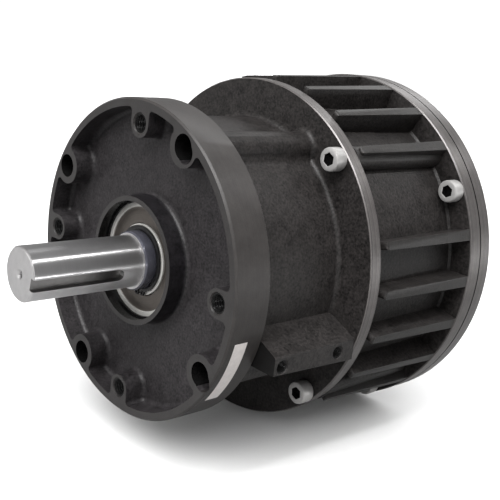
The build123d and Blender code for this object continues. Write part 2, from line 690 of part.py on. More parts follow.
def friction_disc():
    """Core disc with a splined bore, and its two facings. Returns the solids by name."""
    tip = SPLINE_DIAMETER / 2
    root = tip - SPLINE_HEIGHT
    hub_outer = tip + DISC_HUB_WALL
    core_start = disc_start + FACING_THICKNESS
    core_end = core_start + CORE_THICKNESS
    face_inner, face_outer = FACING_INNER_DIAMETER / 2, facing_outer_radius
    core = turned(
        (root + SPLINE_CLEARANCE, disc_start), (hub_outer, disc_start), (hub_outer, core_start),
        (face_outer, core_start), (face_outer, core_end), (hub_outer, core_end), (hub_outer, disc_end),
        (root + SPLINE_CLEARANCE, disc_end))
    half = root * sin(radians(SPLINE_TOOTH_ANGLE / 2)) + SPLINE_CLEARANCE
    for angle in evenly(SPLINE_TEETH):
        slot = Box(SPLINE_HEIGHT + 2, disc_thickness + 2, 2 * half)
        core -= turned_by(angle) * Pos(root + SPLINE_HEIGHT / 2, (disc_start + disc_end) / 2, 0) * slot
    return {
        "friction_disc_core": core,
        "front_facing": ring(face_inner, face_outer, disc_start, core_start),
        "rear_facing": ring(face_inner, face_outer, core_end, disc_end),
    }


def reaction_plate():
    """Fixed plate at the open end of the drum."""
    body = ring(REACTION_BORE / 2, drum_radius, reaction_start, reaction_end)
    for x, z in drum_screw_places():
        hole = DRUM_SCREW_DIAMETER / 2 + SCREW_HOLE_CLEARANCE
        body -= rod(hole, reaction_start - 1, reaction_end + 1, x, z)
    pocket_end = reaction_start + SPRING_HOLD + ENGAGE_STROKE + SPRING_CLEARANCE
    for angle in evenly(SPRING_COUNT):
        body -= rod_at(SPRING_DIAMETER / 2 + 2 * SPRING_CLEARANCE, reaction_start - 1, pocket_end,
                       spring_circle_radius, angle)
    return body


def release_springs():
    """Springs that push the pressure plate back, seated in pockets of the reaction plate."""
    start = plate_end
    end = reaction_start + SPRING_HOLD
    springs = []
    for angle in evenly(SPRING_COUNT):
        x, z = polar(spring_circle_radius, angle)
        bore = rod(SPRING_BORE / 2, start - 1, end + 1, x, z)
        springs.append(rod(SPRING_DIAMETER / 2, start, end, x, z) - bore)
    return joined(springs)


def drum_screws():
    """Screws of the reaction plate, with plain round heads."""
    screws = []
    for x, z in drum_screw_places():
        shank = rod(DRUM_SCREW_DIAMETER / 2, reaction_end - DRUM_SCREW_LENGTH, reaction_end, x, z)
        width = min(DRUM_SCREW_HEAD, DRUM_WALL)
        head = rod(width / 2, reaction_end, reaction_end + DRUM_SCREW_DIAMETER, x, z)
        screws.append(shank + head)
    return joined(screws)


def input_hub():
    """Input hub: pilot nose, spline, bearing seat and keyed bore for the motor shaft."""
    nose = INPUT_NOSE_DIAMETER / 2
    root = SPLINE_DIAMETER / 2 - SPLINE_HEIGHT
    spline_end = INPUT_HUB_START + SPLINE_LENGTH
    seat = MAIN_BEARING_BORE / 2
    groove = seat - RING_GROOVE_DEPTH
    body = turned(
        (0, nose_start), (nose, nose_start), (nose, INPUT_HUB_START), (root, INPUT_HUB_START),
        (root, spline_end), (INPUT_BODY_DIAMETER / 2, spline_end),
        (INPUT_BODY_DIAMETER / 2, main_bearing_start),
        (seat, main_bearing_start), (seat, main_bearing_end), (groove, main_bearing_end),
        (groove, main_ring_end), (INPUT_TAIL_DIAMETER / 2, main_ring_end),
        (INPUT_TAIL_DIAMETER / 2, input_end),
        (0, input_end))
    for tooth in spline_teeth(root, INPUT_HUB_START, spline_end, SPLINE_HEIGHT - SPLINE_CLEARANCE):
        body += tooth
    bore_start = input_end - INPUT_BORE_DEPTH
    body -= rod(INPUT_BORE_DIAMETER / 2, bore_start, input_end + 1)
    height = 2 * KEY_DEPTH
    slot = Box(height, INPUT_BORE_DEPTH + 1, KEY_WIDTH)
    body -= Pos(0, (bore_start + input_end + 1) / 2, INPUT_BORE_DIAMETER / 2) * Rot(0, 90, 0) * slot
    for angle in SET_SCREW_ANGLES:
        body -= set_screw_bar(angle, SET_SCREW_DIAMETER / 2 + SCREW_HOLE_CLEARANCE, 2)
    return body


def set_screw_bar(angle, radius, spare):
    """A radial bar through the hub's tail wall, for a set screw or its hole."""
    outer = INPUT_TAIL_DIAMETER / 2
    length = SET_SCREW_LENGTH + spare
    middle = outer - length / 2 + spare / 2
    at = turned_by(angle) * Pos(middle, input_end - SET_SCREW_SETBACK, 0) * Rot(0, 90, 0)
    return at * Cylinder(radius, length)


def finned_housing():
    """Housing of the friction pack: drum with cooling fins, bearing web, screw bosses and rear flange."""
    flange = rear_flange_radius
    main_bore = MAIN_BEARING_OUTSIDE / 2
    groove = main_bore + RING_GROOVE_DEPTH
    lip = main_bore - BEARING_LIP_OVERLAP
    web_end = HOUSING_WEB_START + HOUSING_WEB_THICKNESS
    body = turned(
        (housing_bore, joint_plane), (housing_radius, joint_plane), (housing_radius, REAR_FLANGE_START - 1.5),
        (housing_radius + 1.5, REAR_FLANGE_START), (flange - REAR_FLANGE_CHAMFER, REAR_FLANGE_START),
        (flange, REAR_FLANGE_START + REAR_FLANGE_CHAMFER), (flange, adapter_start),
        (housing_bore, adapter_start), (housing_bore, web_end), (bearing_hub_radius, web_end),
        (bearing_hub_radius, bearing_hub_end), (main_bore, bearing_hub_end), (main_bore, main_ring_end),
        (groove, main_ring_end), (groove, main_bearing_end), (main_bore, main_bearing_end),
        (main_bore, main_bearing_start), (lip, main_bearing_start), (lip, HOUSING_WEB_START),
        (housing_bore, HOUSING_WEB_START))
    for first in evenly(CORNERS, REAR_SCREW_ANGLE):
        for step in FIN_STEPS:
            body += turned_by(first - step) * cooling_fin()
    for angle in evenly(CORNERS, MID_SCREW_ANGLE):
        body += rod_at(MID_BOSS_DIAMETER / 2, joint_plane, REAR_FLANGE_START + 1, mid_screw_radius, angle)
    body -= ring(0, housing_bore, joint_plane, HOUSING_WEB_START)
    for angle in evenly(CORNERS, MID_SCREW_ANGLE):
        body -= rod_at(SCREW_DIAMETER / 2 + SCREW_HOLE_CLEARANCE, joint_plane - 1,
                       MID_FLANGE_START + MID_SCREW_LENGTH + 2, mid_screw_radius, angle)
    for angle in evenly(CORNERS, REAR_SCREW_ANGLE):
        body -= rod_at(SCREW_DIAMETER / 2 + SCREW_HOLE_CLEARANCE, REAR_FLANGE_START - 1, adapter_start + 1,
                       rear_screw_radius, angle)
        seat_radius = SCREW_HEAD_DIAMETER / 2 + HEAD_SEAT_CLEARANCE
        body -= rod_at(seat_radius, REAR_FLANGE_START - 2, REAR_FLANGE_START,
                       rear_screw_radius, angle)
    return body


def cooling_fin():
    """One fin at angle 0, growing in height and thickness towards the rear flange, with a round front end."""
    root = housing_radius - FIN_ROOT
    front = Plane((0, fin_start, 0), x_dir=(1, 0, 0), z_dir=(0, 1, 0))
    rear = Plane((0, REAR_FLANGE_START + 1, 0), x_dir=(1, 0, 0), z_dir=(0, 1, 0))
    rear_radius = rear_flange_radius - REAR_FLANGE_CHAMFER
    height = fin_front_radius - root
    front_face = Pos(root + height / 2, 0) * Rectangle(height, FIN_FRONT_THICKNESS)
    rear_face = Pos((root + rear_radius) / 2, 0) * Rectangle(rear_radius - root, FIN_REAR_THICKNESS)
    fin = loft([front * front_face, rear * rear_face])
    tip = fin.faces().sort_by(Axis.Y)[0]
    edges = [edge for edge in tip.edges() if edge.center().X > root + 1]
    return fillet(edges, min(FIN_ROUNDING, FIN_FRONT_THICKNESS / 2 - 0.2))


def cap_screws(circle_radius, first_angle, seat, length):
    """Four socket head cap screws, heads towards the front."""
    screws = []
    head = SCREW_HEAD_DIAMETER / 2
    for angle in evenly(CORNERS, first_angle):
        x, z = polar(circle_radius, angle)
        top = seat - SCREW_HEAD_HEIGHT
        shape = turned(
            (0, top), (head - SCREW_HEAD_CHAMFER, top), (head, top + SCREW_HEAD_CHAMFER), (head, seat),
            (SCREW_DIAMETER / 2, seat), (SCREW_DIAMETER / 2, seat + length), (0, seat + length))
        hexagon = RegularPolygon(SCREW_SOCKET_SIZE / 2, 6, major_radius=False)
        socket = extrude(Plane((0, top, 0), x_dir=(1, 0, 0), z_dir=(0, -1, 0)) * hexagon,
                         amount=-SCREW_SOCKET_DEPTH)
        screws.append(Pos(x, 0, z) * (shape - socket))
    return joined(screws)


def motor_adapter():
    """Ring between the finned housing and the motor, with the motor's pilot recess."""
    outer = rear_flange_radius
    pilot = pilot_radius + ADAPTER_PILOT_CLEARANCE
    spigot = housing_bore - SPIGOT_CLEARANCE
    body = turned(
        (ADAPTER_BORE / 2, adapter_start), (spigot - ADAPTER_SPIGOT_WALL, adapter_start),
        (spigot - ADAPTER_SPIGOT_WALL, adapter_start - ADAPTER_SPIGOT_LENGTH),
        (spigot, adapter_start - ADAPTER_SPIGOT_LENGTH), (spigot, adapter_start), (outer, adapter_start),
        (outer, adapter_end - REAR_FLANGE_CHAMFER), (outer - REAR_FLANGE_CHAMFER, adapter_end),
        (pilot, adapter_end), (pilot, adapter_end - ADAPTER_PILOT_DEPTH),
        (ADAPTER_BORE / 2, adapter_end - ADAPTER_PILOT_DEPTH))
    for angle in evenly(CORNERS, FIRST_TAPPED_ANGLE):
        body -= rod_at(ADAPTER_BOLT_HOLE_DIAMETER / 2, adapter_start - 5, adapter_end,
                       BOLT_CIRCLE_DIAMETER / 2, angle)
    for angle in evenly(CORNERS, REAR_SCREW_ANGLE):
        body -= rod_at(SCREW_DIAMETER / 2 + SCREW_HOLE_CLEARANCE, adapter_start - 1,
                       REAR_FLANGE_START + REAR_SCREW_LENGTH + 1, rear_screw_radius, angle)
    return body


def hub_end_parts():
    """Washer and screw that hold the drum's hub on the shaft's tail."""
    hole = END_SCREW_DIAMETER / 2 + SCREW_HOLE_CLEARANCE
    washer = ring(hole, END_WASHER_DIAMETER / 2, shaft_end, end_washer_end)
    head = rod(END_SCREW_HEAD_DIAMETER / 2, end_washer_end, end_washer_end + END_SCREW_HEAD_HEIGHT)
    shank = rod(END_SCREW_DIAMETER / 2, shaft_end - END_SCREW_LENGTH + 2, end_washer_end)
    return {"hub_end_washer": washer, "hub_end_screw": head + shank}


def main():
    """Builds every node and writes it."""
    os.makedirs("parts", exist_ok=True)
    nodes = {
        "output_housing": output_housing(),
        "output_shaft": output_shaft(),
        "shaft_retaining_ring": shaft_ring(),
        "bearing_spacer": ring(BEARING_OUTSIDE / 2 - RACE_WALL, BEARING_OUTSIDE / 2 - RUNNING_CLEARANCE,
                               bearing_end, rear_bearing_start),
        "bearing_retaining_ring": bore_ring(BEARING_OUTSIDE / 2, rear_bearing_end, BORE_RING_THICKNESS,
                                            BORE_RING_WALL),
        "piston": piston(),
        "piston_outer_seal": seal(cylinder_radius, 1),
        "piston_inner_seal": seal(sleeve_radius, -1),
        "push_ring": push_ring(),
        "output_drum": output_drum(),
        "drum_key": drum_key(0),
        "pressure_plate": pressure_plate(),
        "reaction_plate": reaction_plate(),
        "release_springs": release_springs(),
        "drum_screws": drum_screws(),
        "input_hub": input_hub(),
        "hub_set_screws": joined(set_screw_bar(a, SET_SCREW_DIAMETER / 2, 0) for a in SET_SCREW_ANGLES),
        "input_shaft_ring": split_ring(
            MAIN_BEARING_BORE / 2 - RING_GROOVE_DEPTH + RUNNING_CLEARANCE, MAIN_BEARING_BORE / 2 + 4,
            main_bearing_end, main_ring_end, RING_GAP_ANGLE, 90),
        "input_bearing_ring": bore_ring(MAIN_BEARING_OUTSIDE / 2, main_bearing_end, MAIN_RING_THICKNESS,
                                        BORE_RING_WALL),
        "finned_housing": finned_housing(),
        "motor_adapter": motor_adapter(),
        "housing_screws": cap_screws(mid_screw_radius, MID_SCREW_ANGLE, MID_FLANGE_START, MID_SCREW_LENGTH),
        "adapter_screws": cap_screws(rear_screw_radius, REAR_SCREW_ANGLE, REAR_FLANGE_START,
                                     REAR_SCREW_LENGTH),
    }
    nodes.update(bearing("front_bearing", BEARING_BORE, BEARING_OUTSIDE, BEARING_WIDTH, BEARING_START,
                         RACE_WALL))
    nodes.update(bearing("rear_bearing", BEARING_BORE, BEARING_OUTSIDE, BEARING_WIDTH, rear_bearing_start,
                         RACE_WALL))
    nodes.update(bearing("input_bearing", MAIN_BEARING_BORE, MAIN_BEARING_OUTSIDE, MAIN_BEARING_WIDTH,
                         main_bearing_start, MAIN_RACE_WALL))
    nodes.update(bearing("pilot_bearing", INPUT_NOSE_DIAMETER, PILOT_BEARING_OUTSIDE, PILOT_BEARING_WIDTH,
                         drum_web_end - PILOT_BEARING_WIDTH, PILOT_RACE_WALL))
    nodes.update(thrust_bearing())
    nodes.update(friction_disc())
    nodes.update(hub_end_parts())
    for name, shape in nodes.items():
        save(name, shape)
    print(len(nodes), "nodes")


main()
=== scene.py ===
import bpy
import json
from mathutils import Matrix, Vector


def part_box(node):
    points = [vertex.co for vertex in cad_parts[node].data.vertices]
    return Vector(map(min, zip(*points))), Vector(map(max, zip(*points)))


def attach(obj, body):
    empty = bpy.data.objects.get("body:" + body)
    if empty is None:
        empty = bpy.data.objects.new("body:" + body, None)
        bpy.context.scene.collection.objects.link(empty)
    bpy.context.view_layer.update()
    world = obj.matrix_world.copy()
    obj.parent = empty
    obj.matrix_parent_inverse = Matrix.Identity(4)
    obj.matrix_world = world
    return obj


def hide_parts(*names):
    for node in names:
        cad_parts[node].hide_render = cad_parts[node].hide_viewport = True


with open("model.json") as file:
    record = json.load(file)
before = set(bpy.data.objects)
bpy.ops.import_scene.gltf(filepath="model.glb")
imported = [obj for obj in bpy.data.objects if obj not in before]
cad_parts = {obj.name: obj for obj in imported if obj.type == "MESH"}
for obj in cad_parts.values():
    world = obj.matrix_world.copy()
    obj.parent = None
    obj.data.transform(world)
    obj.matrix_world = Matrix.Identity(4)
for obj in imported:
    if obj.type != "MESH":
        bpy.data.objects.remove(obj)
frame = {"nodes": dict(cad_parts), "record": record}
"""Looks of the enclosed friction clutch.

The shaft axis is the Y axis, the output shaft points to -Y and +Z is up. A station is a place along
the axis. The pieces' sizes are in millimetres, and angles are in degrees and grow from +X towards +Z
about the axis. What Blender is given is in metres, as are the finishes' grain and patch sizes and the
places of the studio's lamps.
"""
import json
import logging
import math
from contextlib import contextmanager
from dataclasses import dataclass, field
from enum import Enum
from typing import Callable, Iterator, Sequence

import bmesh
import bpy
from mathutils import Matrix, Vector

Piece = bpy.types.Object
Face = bpy.types.MeshPolygon
Socket = bpy.types.NodeSocket
Value = Socket | float | Sequence[float]
Colour = tuple[float, float, float]
Range = tuple[float, float]
FaceTest = Callable[[Face], bool]

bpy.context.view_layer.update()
MM = 0.001
WELD = 0.000001
FLAT_ANGLE = 0.3
SHARP_ANGLE = 32.0
OVERCUT = 1.0
LOG = logging.getLogger("friction_clutch")


class Body(Enum):
    """The bodies that new pieces ride on."""

    HOUSING = "housing"
    OUTPUT = "output"


class Slot(Enum):
    """The record's material slots."""

    BLACK_CASTING = "black_casting"
    BLACK_MACHINED = "black_machined"
    GROUND_STEEL = "ground_steel"
    BEARING_STEEL = "bearing_steel"
    SHIELD_STEEL = "shield_steel"
    SPRING_STEEL = "spring_steel"
    PLAIN_STEEL = "plain_steel"
    SCREW_STEEL = "screw_steel"
    LIGHT_ALLOY = "light_alloy"
    FRICTION_LINING = "friction_lining"
    SEAL_RUBBER = "seal_rubber"


# Materials


class ShaderTree:
    """A node tree with short calls to add and join nodes."""

    MIX_INPUTS = (0, 6, 7)
    MIX_OUTPUT = 2

    def __init__(self, tree: bpy.types.NodeTree) -> None:
        """Wraps a tree."""
        self.tree = tree

    def add(self, kind: str, **settings: object) -> bpy.types.Node:
        """Adds one node.

        Args:
            kind: the node's type name.
            settings: node properties by name.

        Returns:
            The new node.
        """
        node = self.tree.nodes.new(kind)
        for name, value in settings.items():
            setattr(node, name, value)
        return node

    def use(self, group: bpy.types.NodeTree, **inputs: float) -> bpy.types.Node:
        """Places a node group.

        Args:
            group: the group.
            inputs: the values of its inputs by name.

        Returns:
            The new node.
        """
        node = self.add("ShaderNodeGroup", node_tree=group)
        for name, value in inputs.items():
            node.inputs[name].default_value = value
        return node

    def join(self, source: Socket, target: Socket) -> None:
        """Links two sockets."""
        self.tree.links.new(source, target)

    def feed(self, target: Socket, value: Value) -> None:
        """Links a socket to another one, or gives it a number or a colour.

        Args:
            target: the socket that takes the value.
            value: the other socket, the number, or the colour with its alpha.
        """
        if isinstance(value, Socket):
            self.join(value, target)
        else:
            target.default_value = value

    def sum_up(self, operation: str, first: Value, second: Value) -> Socket:
        """Adds a Math node.

        Args:
            operation: the Math node's operation.
            first: a socket or a number.
            second: a socket or a number.

        Returns:
            The result's socket.
        """
        node = self.add("ShaderNodeMath", operation=operation)
        self.feed(node.inputs[0], first)
        self.feed(node.inputs[1], second)
        return node.outputs[0]

    def swing(self, mask: Socket, amount: Value) -> Socket:
        """Returns a mask centred on nought and scaled."""
        return self.sum_up("MULTIPLY", self.sum_up("SUBTRACT", mask, 0.5), amount)

    def blend(self, share: Socket, first: Value, second: Value) -> Socket:
        """Mixes two colours.

        Args:
            share: how much there is of the second colour.
            first: a socket or a colour with its alpha.
            second: a socket or a colour with its alpha.

        Returns:
            The mixed colour's socket.
        """
        node = self.add("ShaderNodeMix", data_type="RGBA", clamp_factor=True)
        for number, value in zip(self.MIX_INPUTS, (share, first, second)):
            self.feed(node.inputs[number], value)
        return node.outputs[self.MIX_OUTPUT]

    def place(self) -> Socket:
        """Returns the Object coordinates."""
        return self.add("ShaderNodeTexCoord").outputs["Object"]

    def noise(self, point: Socket, size: Socket, detail: float, roughness: float) -> Socket:
        """Adds a Noise texture.

        Args:
            point: where the texture is read.
            size: the size of its features in metres.
            detail: its Detail value.
            roughness: its Roughness value.

        Returns:
            Its value's socket.
        """
        node = self.add("ShaderNodeTexNoise")
        values = {"Vector": point, "Scale": self.sum_up("DIVIDE", 1.0, size), "Detail": detail,
                  "Roughness": roughness}
        for label, value in values.items():
            self.feed(node.inputs[label], value)
        return node.outputs["Fac"]


def new_group(name: str, inputs: dict[str, float],
              outputs: Sequence[str]) -> tuple[ShaderTree, bpy.types.Node, bpy.types.Node]:
    """Starts a shader node group.

    Args:
        name: the group's name.
        inputs: number inputs with their defaults.
        outputs: names of the number outputs.

    Returns:
        The tree, its input node and its output node.
    """
    group = bpy.data.node_groups.new(name, "ShaderNodeTree")
    for label, value in inputs.items():
        socket = group.interface.new_socket(name=label, in_out="INPUT", socket_type="NodeSocketFloat")
        socket.default_value = value
    for label in outputs:
        group.interface.new_socket(name=label, in_out="OUTPUT", socket_type="NodeSocketFloat")
    tree = ShaderTree(group)
    return tree, tree.add("NodeGroupInput"), tree.add("NodeGroupOutput")


@dataclass(frozen=True)
class Grain:
    """Fine sand-like grain of a casting or a paint coat, with pits in it."""

    detail: float = 5.0
    roughness: float = 0.62
    fine_share: float = 0.7
    pit_share: float = 0.45
    pit_scale: float = 0.8
    pit_smoothness: float = 0.6

    def group(self) -> bpy.types.NodeTree:
        """Builds the node group.

        Returns:
            The group.
        """
        tree, given, result = new_group("cast_grain", {"Size": 0.0012}, ("Height", "Mask"))
        place = tree.place()
        fine = tree.noise(place, given.outputs["Size"], self.detail, self.roughness)
        pits = tree.add("ShaderNodeTexVoronoi", feature="SMOOTH_F1")
        scale = tree.sum_up("DIVIDE", 1.0, given.outputs["Size"])
        tree.join(place, pits.inputs["Vector"])
        tree.join(tree.sum_up("MULTIPLY", scale, self.pit_scale), pits.inputs["Scale"])
        tree.feed(pits.inputs["Smoothness"], self.pit_smoothness)
        both = tree.sum_up("ADD", tree.sum_up("MULTIPLY", fine, self.fine_share),
                           tree.sum_up("MULTIPLY", pits.outputs["Distance"], self.pit_share))
        tree.join(both, result.inputs["Height"])
        tree.join(fine, result.inputs["Mask"])
        return tree.tree


@dataclass(frozen=True)
class TurningMarks:
    """Fine rings that a lathe or a grinder leaves about the shaft axis."""

    detail: float = 3.0
    roughness: float = 0.7

    def group(self) -> bpy.types.NodeTree:
        """Builds the node group.

        Returns:
            The group.
        """
        tree, given, result = new_group("turning_marks", {"Pitch": 0.0004}, ("Height", "Mask"))
        apart = tree.add("ShaderNodeSeparateXYZ")
        tree.join(tree.place(), apart.inputs[0])
        squares = [tree.sum_up("MULTIPLY", apart.outputs[label], apart.outputs[label]) for label in "XZ"]
        radius = tree.sum_up("SQRT", tree.sum_up("ADD", *squares), 0.0)
        point = tree.add("ShaderNodeCombineXYZ")
        tree.join(radius, point.inputs["X"])
        tree.join(apart.outputs["Y"], point.inputs["Y"])
        rings = tree.noise(point.outputs[0], given.outputs["Pitch"], self.detail, self.roughness)
        tree.join(rings, result.inputs["Height"])
        tree.join(rings, result.inputs["Mask"])
        return tree.tree


@dataclass(frozen=True)
class Blotches:
    """Broad uneven patches, such as handling marks and thin places of a coat."""

    detail: float = 6.0
    roughness: float = 0.65

    def group(self) -> bpy.types.NodeTree:
        """Builds the node group.

        Returns:
            The group.
        """
        tree, given, result = new_group("blotches", {"Size": 0.02, "Contrast": 1.0}, ("Mask",))
        cloud = tree.noise(tree.place(), given.outputs["Size"], self.detail, self.roughness)
        spread = tree.swing(cloud, given.outputs["Contrast"])
        tree.join(tree.sum_up("ADD", spread, 0.5), result.inputs["Mask"])
        return tree.tree


class Effects:
    """The node groups that several finishes share, each built once."""

    def __init__(self) -> None:
        """Builds the groups."""
        self.grain = Grain().group()
        self.turning = TurningMarks().group()
        self.blotches = Blotches().group()


@dataclass(frozen=True)
class Finish:
    """A surface finish: a dark and a light colour mixed by patches and specks, with grain or marks."""

    dark: Colour
    light: Colour
    roughness: float
    metallic: float = 0.0
    patch_size: float = 0.006
    patch_contrast: float = 1.2
    speck: float = 0.0
    grain_size: float = 0.0
    grain_depth: float = 0.0
    marks_pitch: float = 0.0
    marks_depth: float = 0.0
    marks_colour: float = 0.0
    roughness_spread: float = 0.12
    specular: float = 0.5
    brushed: float = 0.0
    brush_turn: float = 0.25

    def material(self, name: str, effects: Effects) -> bpy.types.Material:
        """Builds the material.

        Args:
            name: the material's name.
            effects: the shared node groups.

        Returns:
            The new material.
        """
        material = bpy.data.materials.new(name)
        material.use_nodes = True
        tree = ShaderTree(material.node_tree)
        shader = material.node_tree.nodes["Principled BSDF"]
        tree.feed(shader.inputs["Metallic"], self.metallic)
        tree.feed(shader.inputs["Specular IOR Level"], self.specular)
        if self.brushed:
            tree.feed(shader.inputs["Anisotropic"], self.brushed)
            tree.feed(shader.inputs["Anisotropic Rotation"], self.brush_turn)
            around = tree.add("ShaderNodeTangent", direction_type="RADIAL", axis="Y")
            tree.join(around.outputs["Tangent"], shader.inputs["Tangent"])
        patches = tree.use(effects.blotches, Size=self.patch_size, Contrast=self.patch_contrast)
        shade = patches.outputs["Mask"]
        rough = tree.sum_up("ADD", tree.swing(shade, self.roughness_spread), self.roughness)
        heights = []
        if self.grain_size:
            grain = tree.use(effects.grain, Size=self.grain_size)
            heights.append(tree.sum_up("MULTIPLY", grain.outputs["Height"], self.grain_depth))
            rough = tree.sum_up("ADD", rough, tree.swing(grain.outputs["Mask"], self.roughness_spread))
            if self.speck:
                shade = tree.sum_up("ADD", shade, tree.swing(grain.outputs["Mask"], self.speck))
        if self.marks_pitch:
            marks = tree.use(effects.turning, Pitch=self.marks_pitch)
            heights.append(tree.sum_up("MULTIPLY", marks.outputs["Height"], self.marks_depth))
            rough = tree.sum_up("ADD", rough, tree.swing(marks.outputs["Mask"], self.roughness_spread))
            if self.marks_colour:
                shade = tree.sum_up("ADD", shade, tree.swing(marks.outputs["Mask"], self.marks_colour))
        tree.join(tree.blend(shade, (*self.dark, 1), (*self.light, 1)), shader.inputs["Base Color"])
        tree.join(rough, shader.inputs["Roughness"])
        if heights:
            bump = tree.add("ShaderNodeBump")
            tree.feed(bump.inputs["Strength"], 1.0)
            tree.feed(bump.inputs["Distance"], 1.0)
            height = heights[0] if len(heights) == 1 else tree.sum_up("ADD", *heights)
            tree.join(height, bump.inputs["Height"])
            tree.join(bump.outputs["Normal"], shader.inputs["Normal"])
        return material


class Coat(Enum):
    """Every finish on the clutch, whose material has its name in small letters."""

    CAST_BLACK = Finish((0.0036, 0.0032, 0.0031), (0.0305, 0.0272, 0.0262), 0.50, patch_size=0.010,
                        speck=2.4, grain_size=0.0017, grain_depth=0.00022, specular=0.20)
    # Smoother coat of the fin tops, made lighter than the casting as a painted highlight.
    FIN_TOP_HIGHLIGHT_BLACK = Finish((0.0048, 0.0045, 0.0042), (0.0300, 0.0276, 0.0264), 0.46, patch_size=0.008,
                           speck=1.4, grain_size=0.0014, grain_depth=0.00012, specular=0.30)
    RECESS_BLACK = Finish((0.0050, 0.0045, 0.0048), (0.0345, 0.0310, 0.0330), 0.48, patch_size=0.008,
                          speck=2.2, grain_size=0.0017, grain_depth=0.00020, specular=0.22)
    # Painted shade: the hub's side in the recess, much darker than the casting.
    HUB_SHADE_BLACK = Finish((0.0020, 0.0018, 0.0021), (0.0150, 0.0135, 0.0155), 0.42, patch_size=0.008,
                       speck=1.8, grain_size=0.0017, grain_depth=0.00012, specular=0.20)
    # Painted highlight: the rounded outward edges, lighter and glossier than the casting.
    EDGE_HIGHLIGHT_BLACK = Finish((0.018, 0.0165, 0.0160), (0.056, 0.051, 0.049), 0.36, speck=1.5,
                        grain_size=0.0012, grain_depth=0.00006, specular=0.40)
    FACED_BLACK = Finish((0.0205, 0.0193, 0.0191), (0.039, 0.0365, 0.0360), 0.42, patch_size=0.01,
                         speck=1.2, grain_size=0.0009, grain_depth=0.00005, marks_pitch=0.0004,
                         marks_depth=0.00003, marks_colour=0.8, specular=0.22)
    FLANGE_EDGE_BLACK = Finish((0.0245, 0.0226, 0.0220), (0.0475, 0.0437, 0.0420), 0.40, patch_size=0.01,
                               speck=0.6, grain_size=0.0009, grain_depth=0.00003, marks_pitch=0.0005,
                               marks_depth=0.00003, marks_colour=1.0, specular=0.18)
    TURNED_BLACK = Finish((0.038, 0.0350, 0.0344), (0.138, 0.1275, 0.124), 0.34, 0.3, patch_size=0.01,
                          patch_contrast=0.8, marks_pitch=0.0006, marks_depth=0.00005, marks_colour=2.6,
                          specular=0.35)
    SHADOW_BLACK = Finish((0.002, 0.002, 0.002), (0.005, 0.0045, 0.0045), 0.6, patch_size=0.004,
                          grain_size=0.001, grain_depth=0.00004, specular=0.15)
    # Machined bores and threads, made near black as painted shade inside the holes.
    BORE_SHADE_BLACK = Finish((0.003, 0.003, 0.003), (0.010, 0.0097, 0.0097), 0.24, 0.2, marks_pitch=0.0005,
                        marks_depth=0.00004, specular=0.2)
    BLUED_STEEL = Finish((0.050, 0.051, 0.064), (0.120, 0.120, 0.150), 0.24, 0.5, marks_pitch=0.0004,
                         marks_depth=0.00001, specular=0.9, brushed=0.85)
    GROUND_STEEL = Finish((0.50, 0.495, 0.50), (0.70, 0.69, 0.695), 0.33, 1.0, patch_size=0.012,
                          patch_contrast=0.6, marks_pitch=0.00035, marks_depth=0.000006, marks_colour=1.0,
                          roughness_spread=0.05, brushed=1.0)
    FACED_STEEL = Finish((0.50, 0.492, 0.495), (0.70, 0.69, 0.69), 0.42, 1.0, marks_pitch=0.0004,
                         marks_depth=0.00001)
    MILLED_STEEL = Finish((0.17, 0.166, 0.164), (0.27, 0.264, 0.260), 0.32, 1.0, patch_size=0.005,
                          grain_size=0.0009, grain_depth=0.00001)
    RACE_STEEL = Finish((0.46, 0.45, 0.43), (0.62, 0.61, 0.585), 0.30, 0.35, marks_pitch=0.0002,
                        marks_depth=0.000008)
    SHIELD_STEEL = Finish((0.080, 0.071, 0.064), (0.150, 0.133, 0.119), 0.42, 0.8, marks_pitch=0.0005,
                          marks_depth=0.000012, marks_colour=1.2)
    SPRING_STEEL = Finish((0.008, 0.008, 0.009), (0.030, 0.029, 0.029), 0.30, 0.5, patch_size=0.004,
                          grain_size=0.0006, grain_depth=0.00001)
    PLAIN_STEEL = Finish((0.26, 0.255, 0.25), (0.34, 0.335, 0.33), 0.34, 1.0, patch_size=0.01,
                         marks_pitch=0.0004, marks_depth=0.00002)
    ZINC_SCREW = Finish((0.31, 0.303, 0.296), (0.46, 0.452, 0.445), 0.42, 0.35, patch_size=0.004,
                        patch_contrast=0.8, speck=0.8, grain_size=0.0008, grain_depth=0.00001)
    # Painted shade: the hex sockets of the pale screws, near black.
    SOCKET_SHADE_DARK = Finish((0.008, 0.008, 0.008), (0.03, 0.029, 0.029), 0.22, 0.7, patch_size=0.003,
                         grain_size=0.0006, grain_depth=0.00001)
    LIGHT_ALLOY = Finish((0.42, 0.42, 0.43), (0.52, 0.52, 0.53), 0.36, 1.0, patch_size=0.012,
                         marks_pitch=0.0005, marks_depth=0.00002)
    FRICTION_LINING = Finish((0.06, 0.042, 0.03), (0.12, 0.09, 0.06), 0.8, patch_size=0.003, speck=2.0,
                             grain_size=0.0015, grain_depth=0.0002)
    SEAL_RUBBER = Finish((0.006, 0.006, 0.006), (0.014, 0.014, 0.014), 0.55, patch_size=0.004,
                         grain_size=0.0008, grain_depth=0.00003)
    BLANK_LABEL = Finish((0.55, 0.520, 0.504), (0.75, 0.706, 0.684), 0.45, patch_size=0.003, speck=0.8,
                         grain_size=0.0007, grain_depth=0.00001, specular=0.3)
    STUDIO_FLOOR = Finish((0.63, 0.63, 0.63), (0.65, 0.65, 0.65), 0.8, patch_size=0.5, grain_size=0.004,
                          grain_depth=0.0001, specular=0.1)


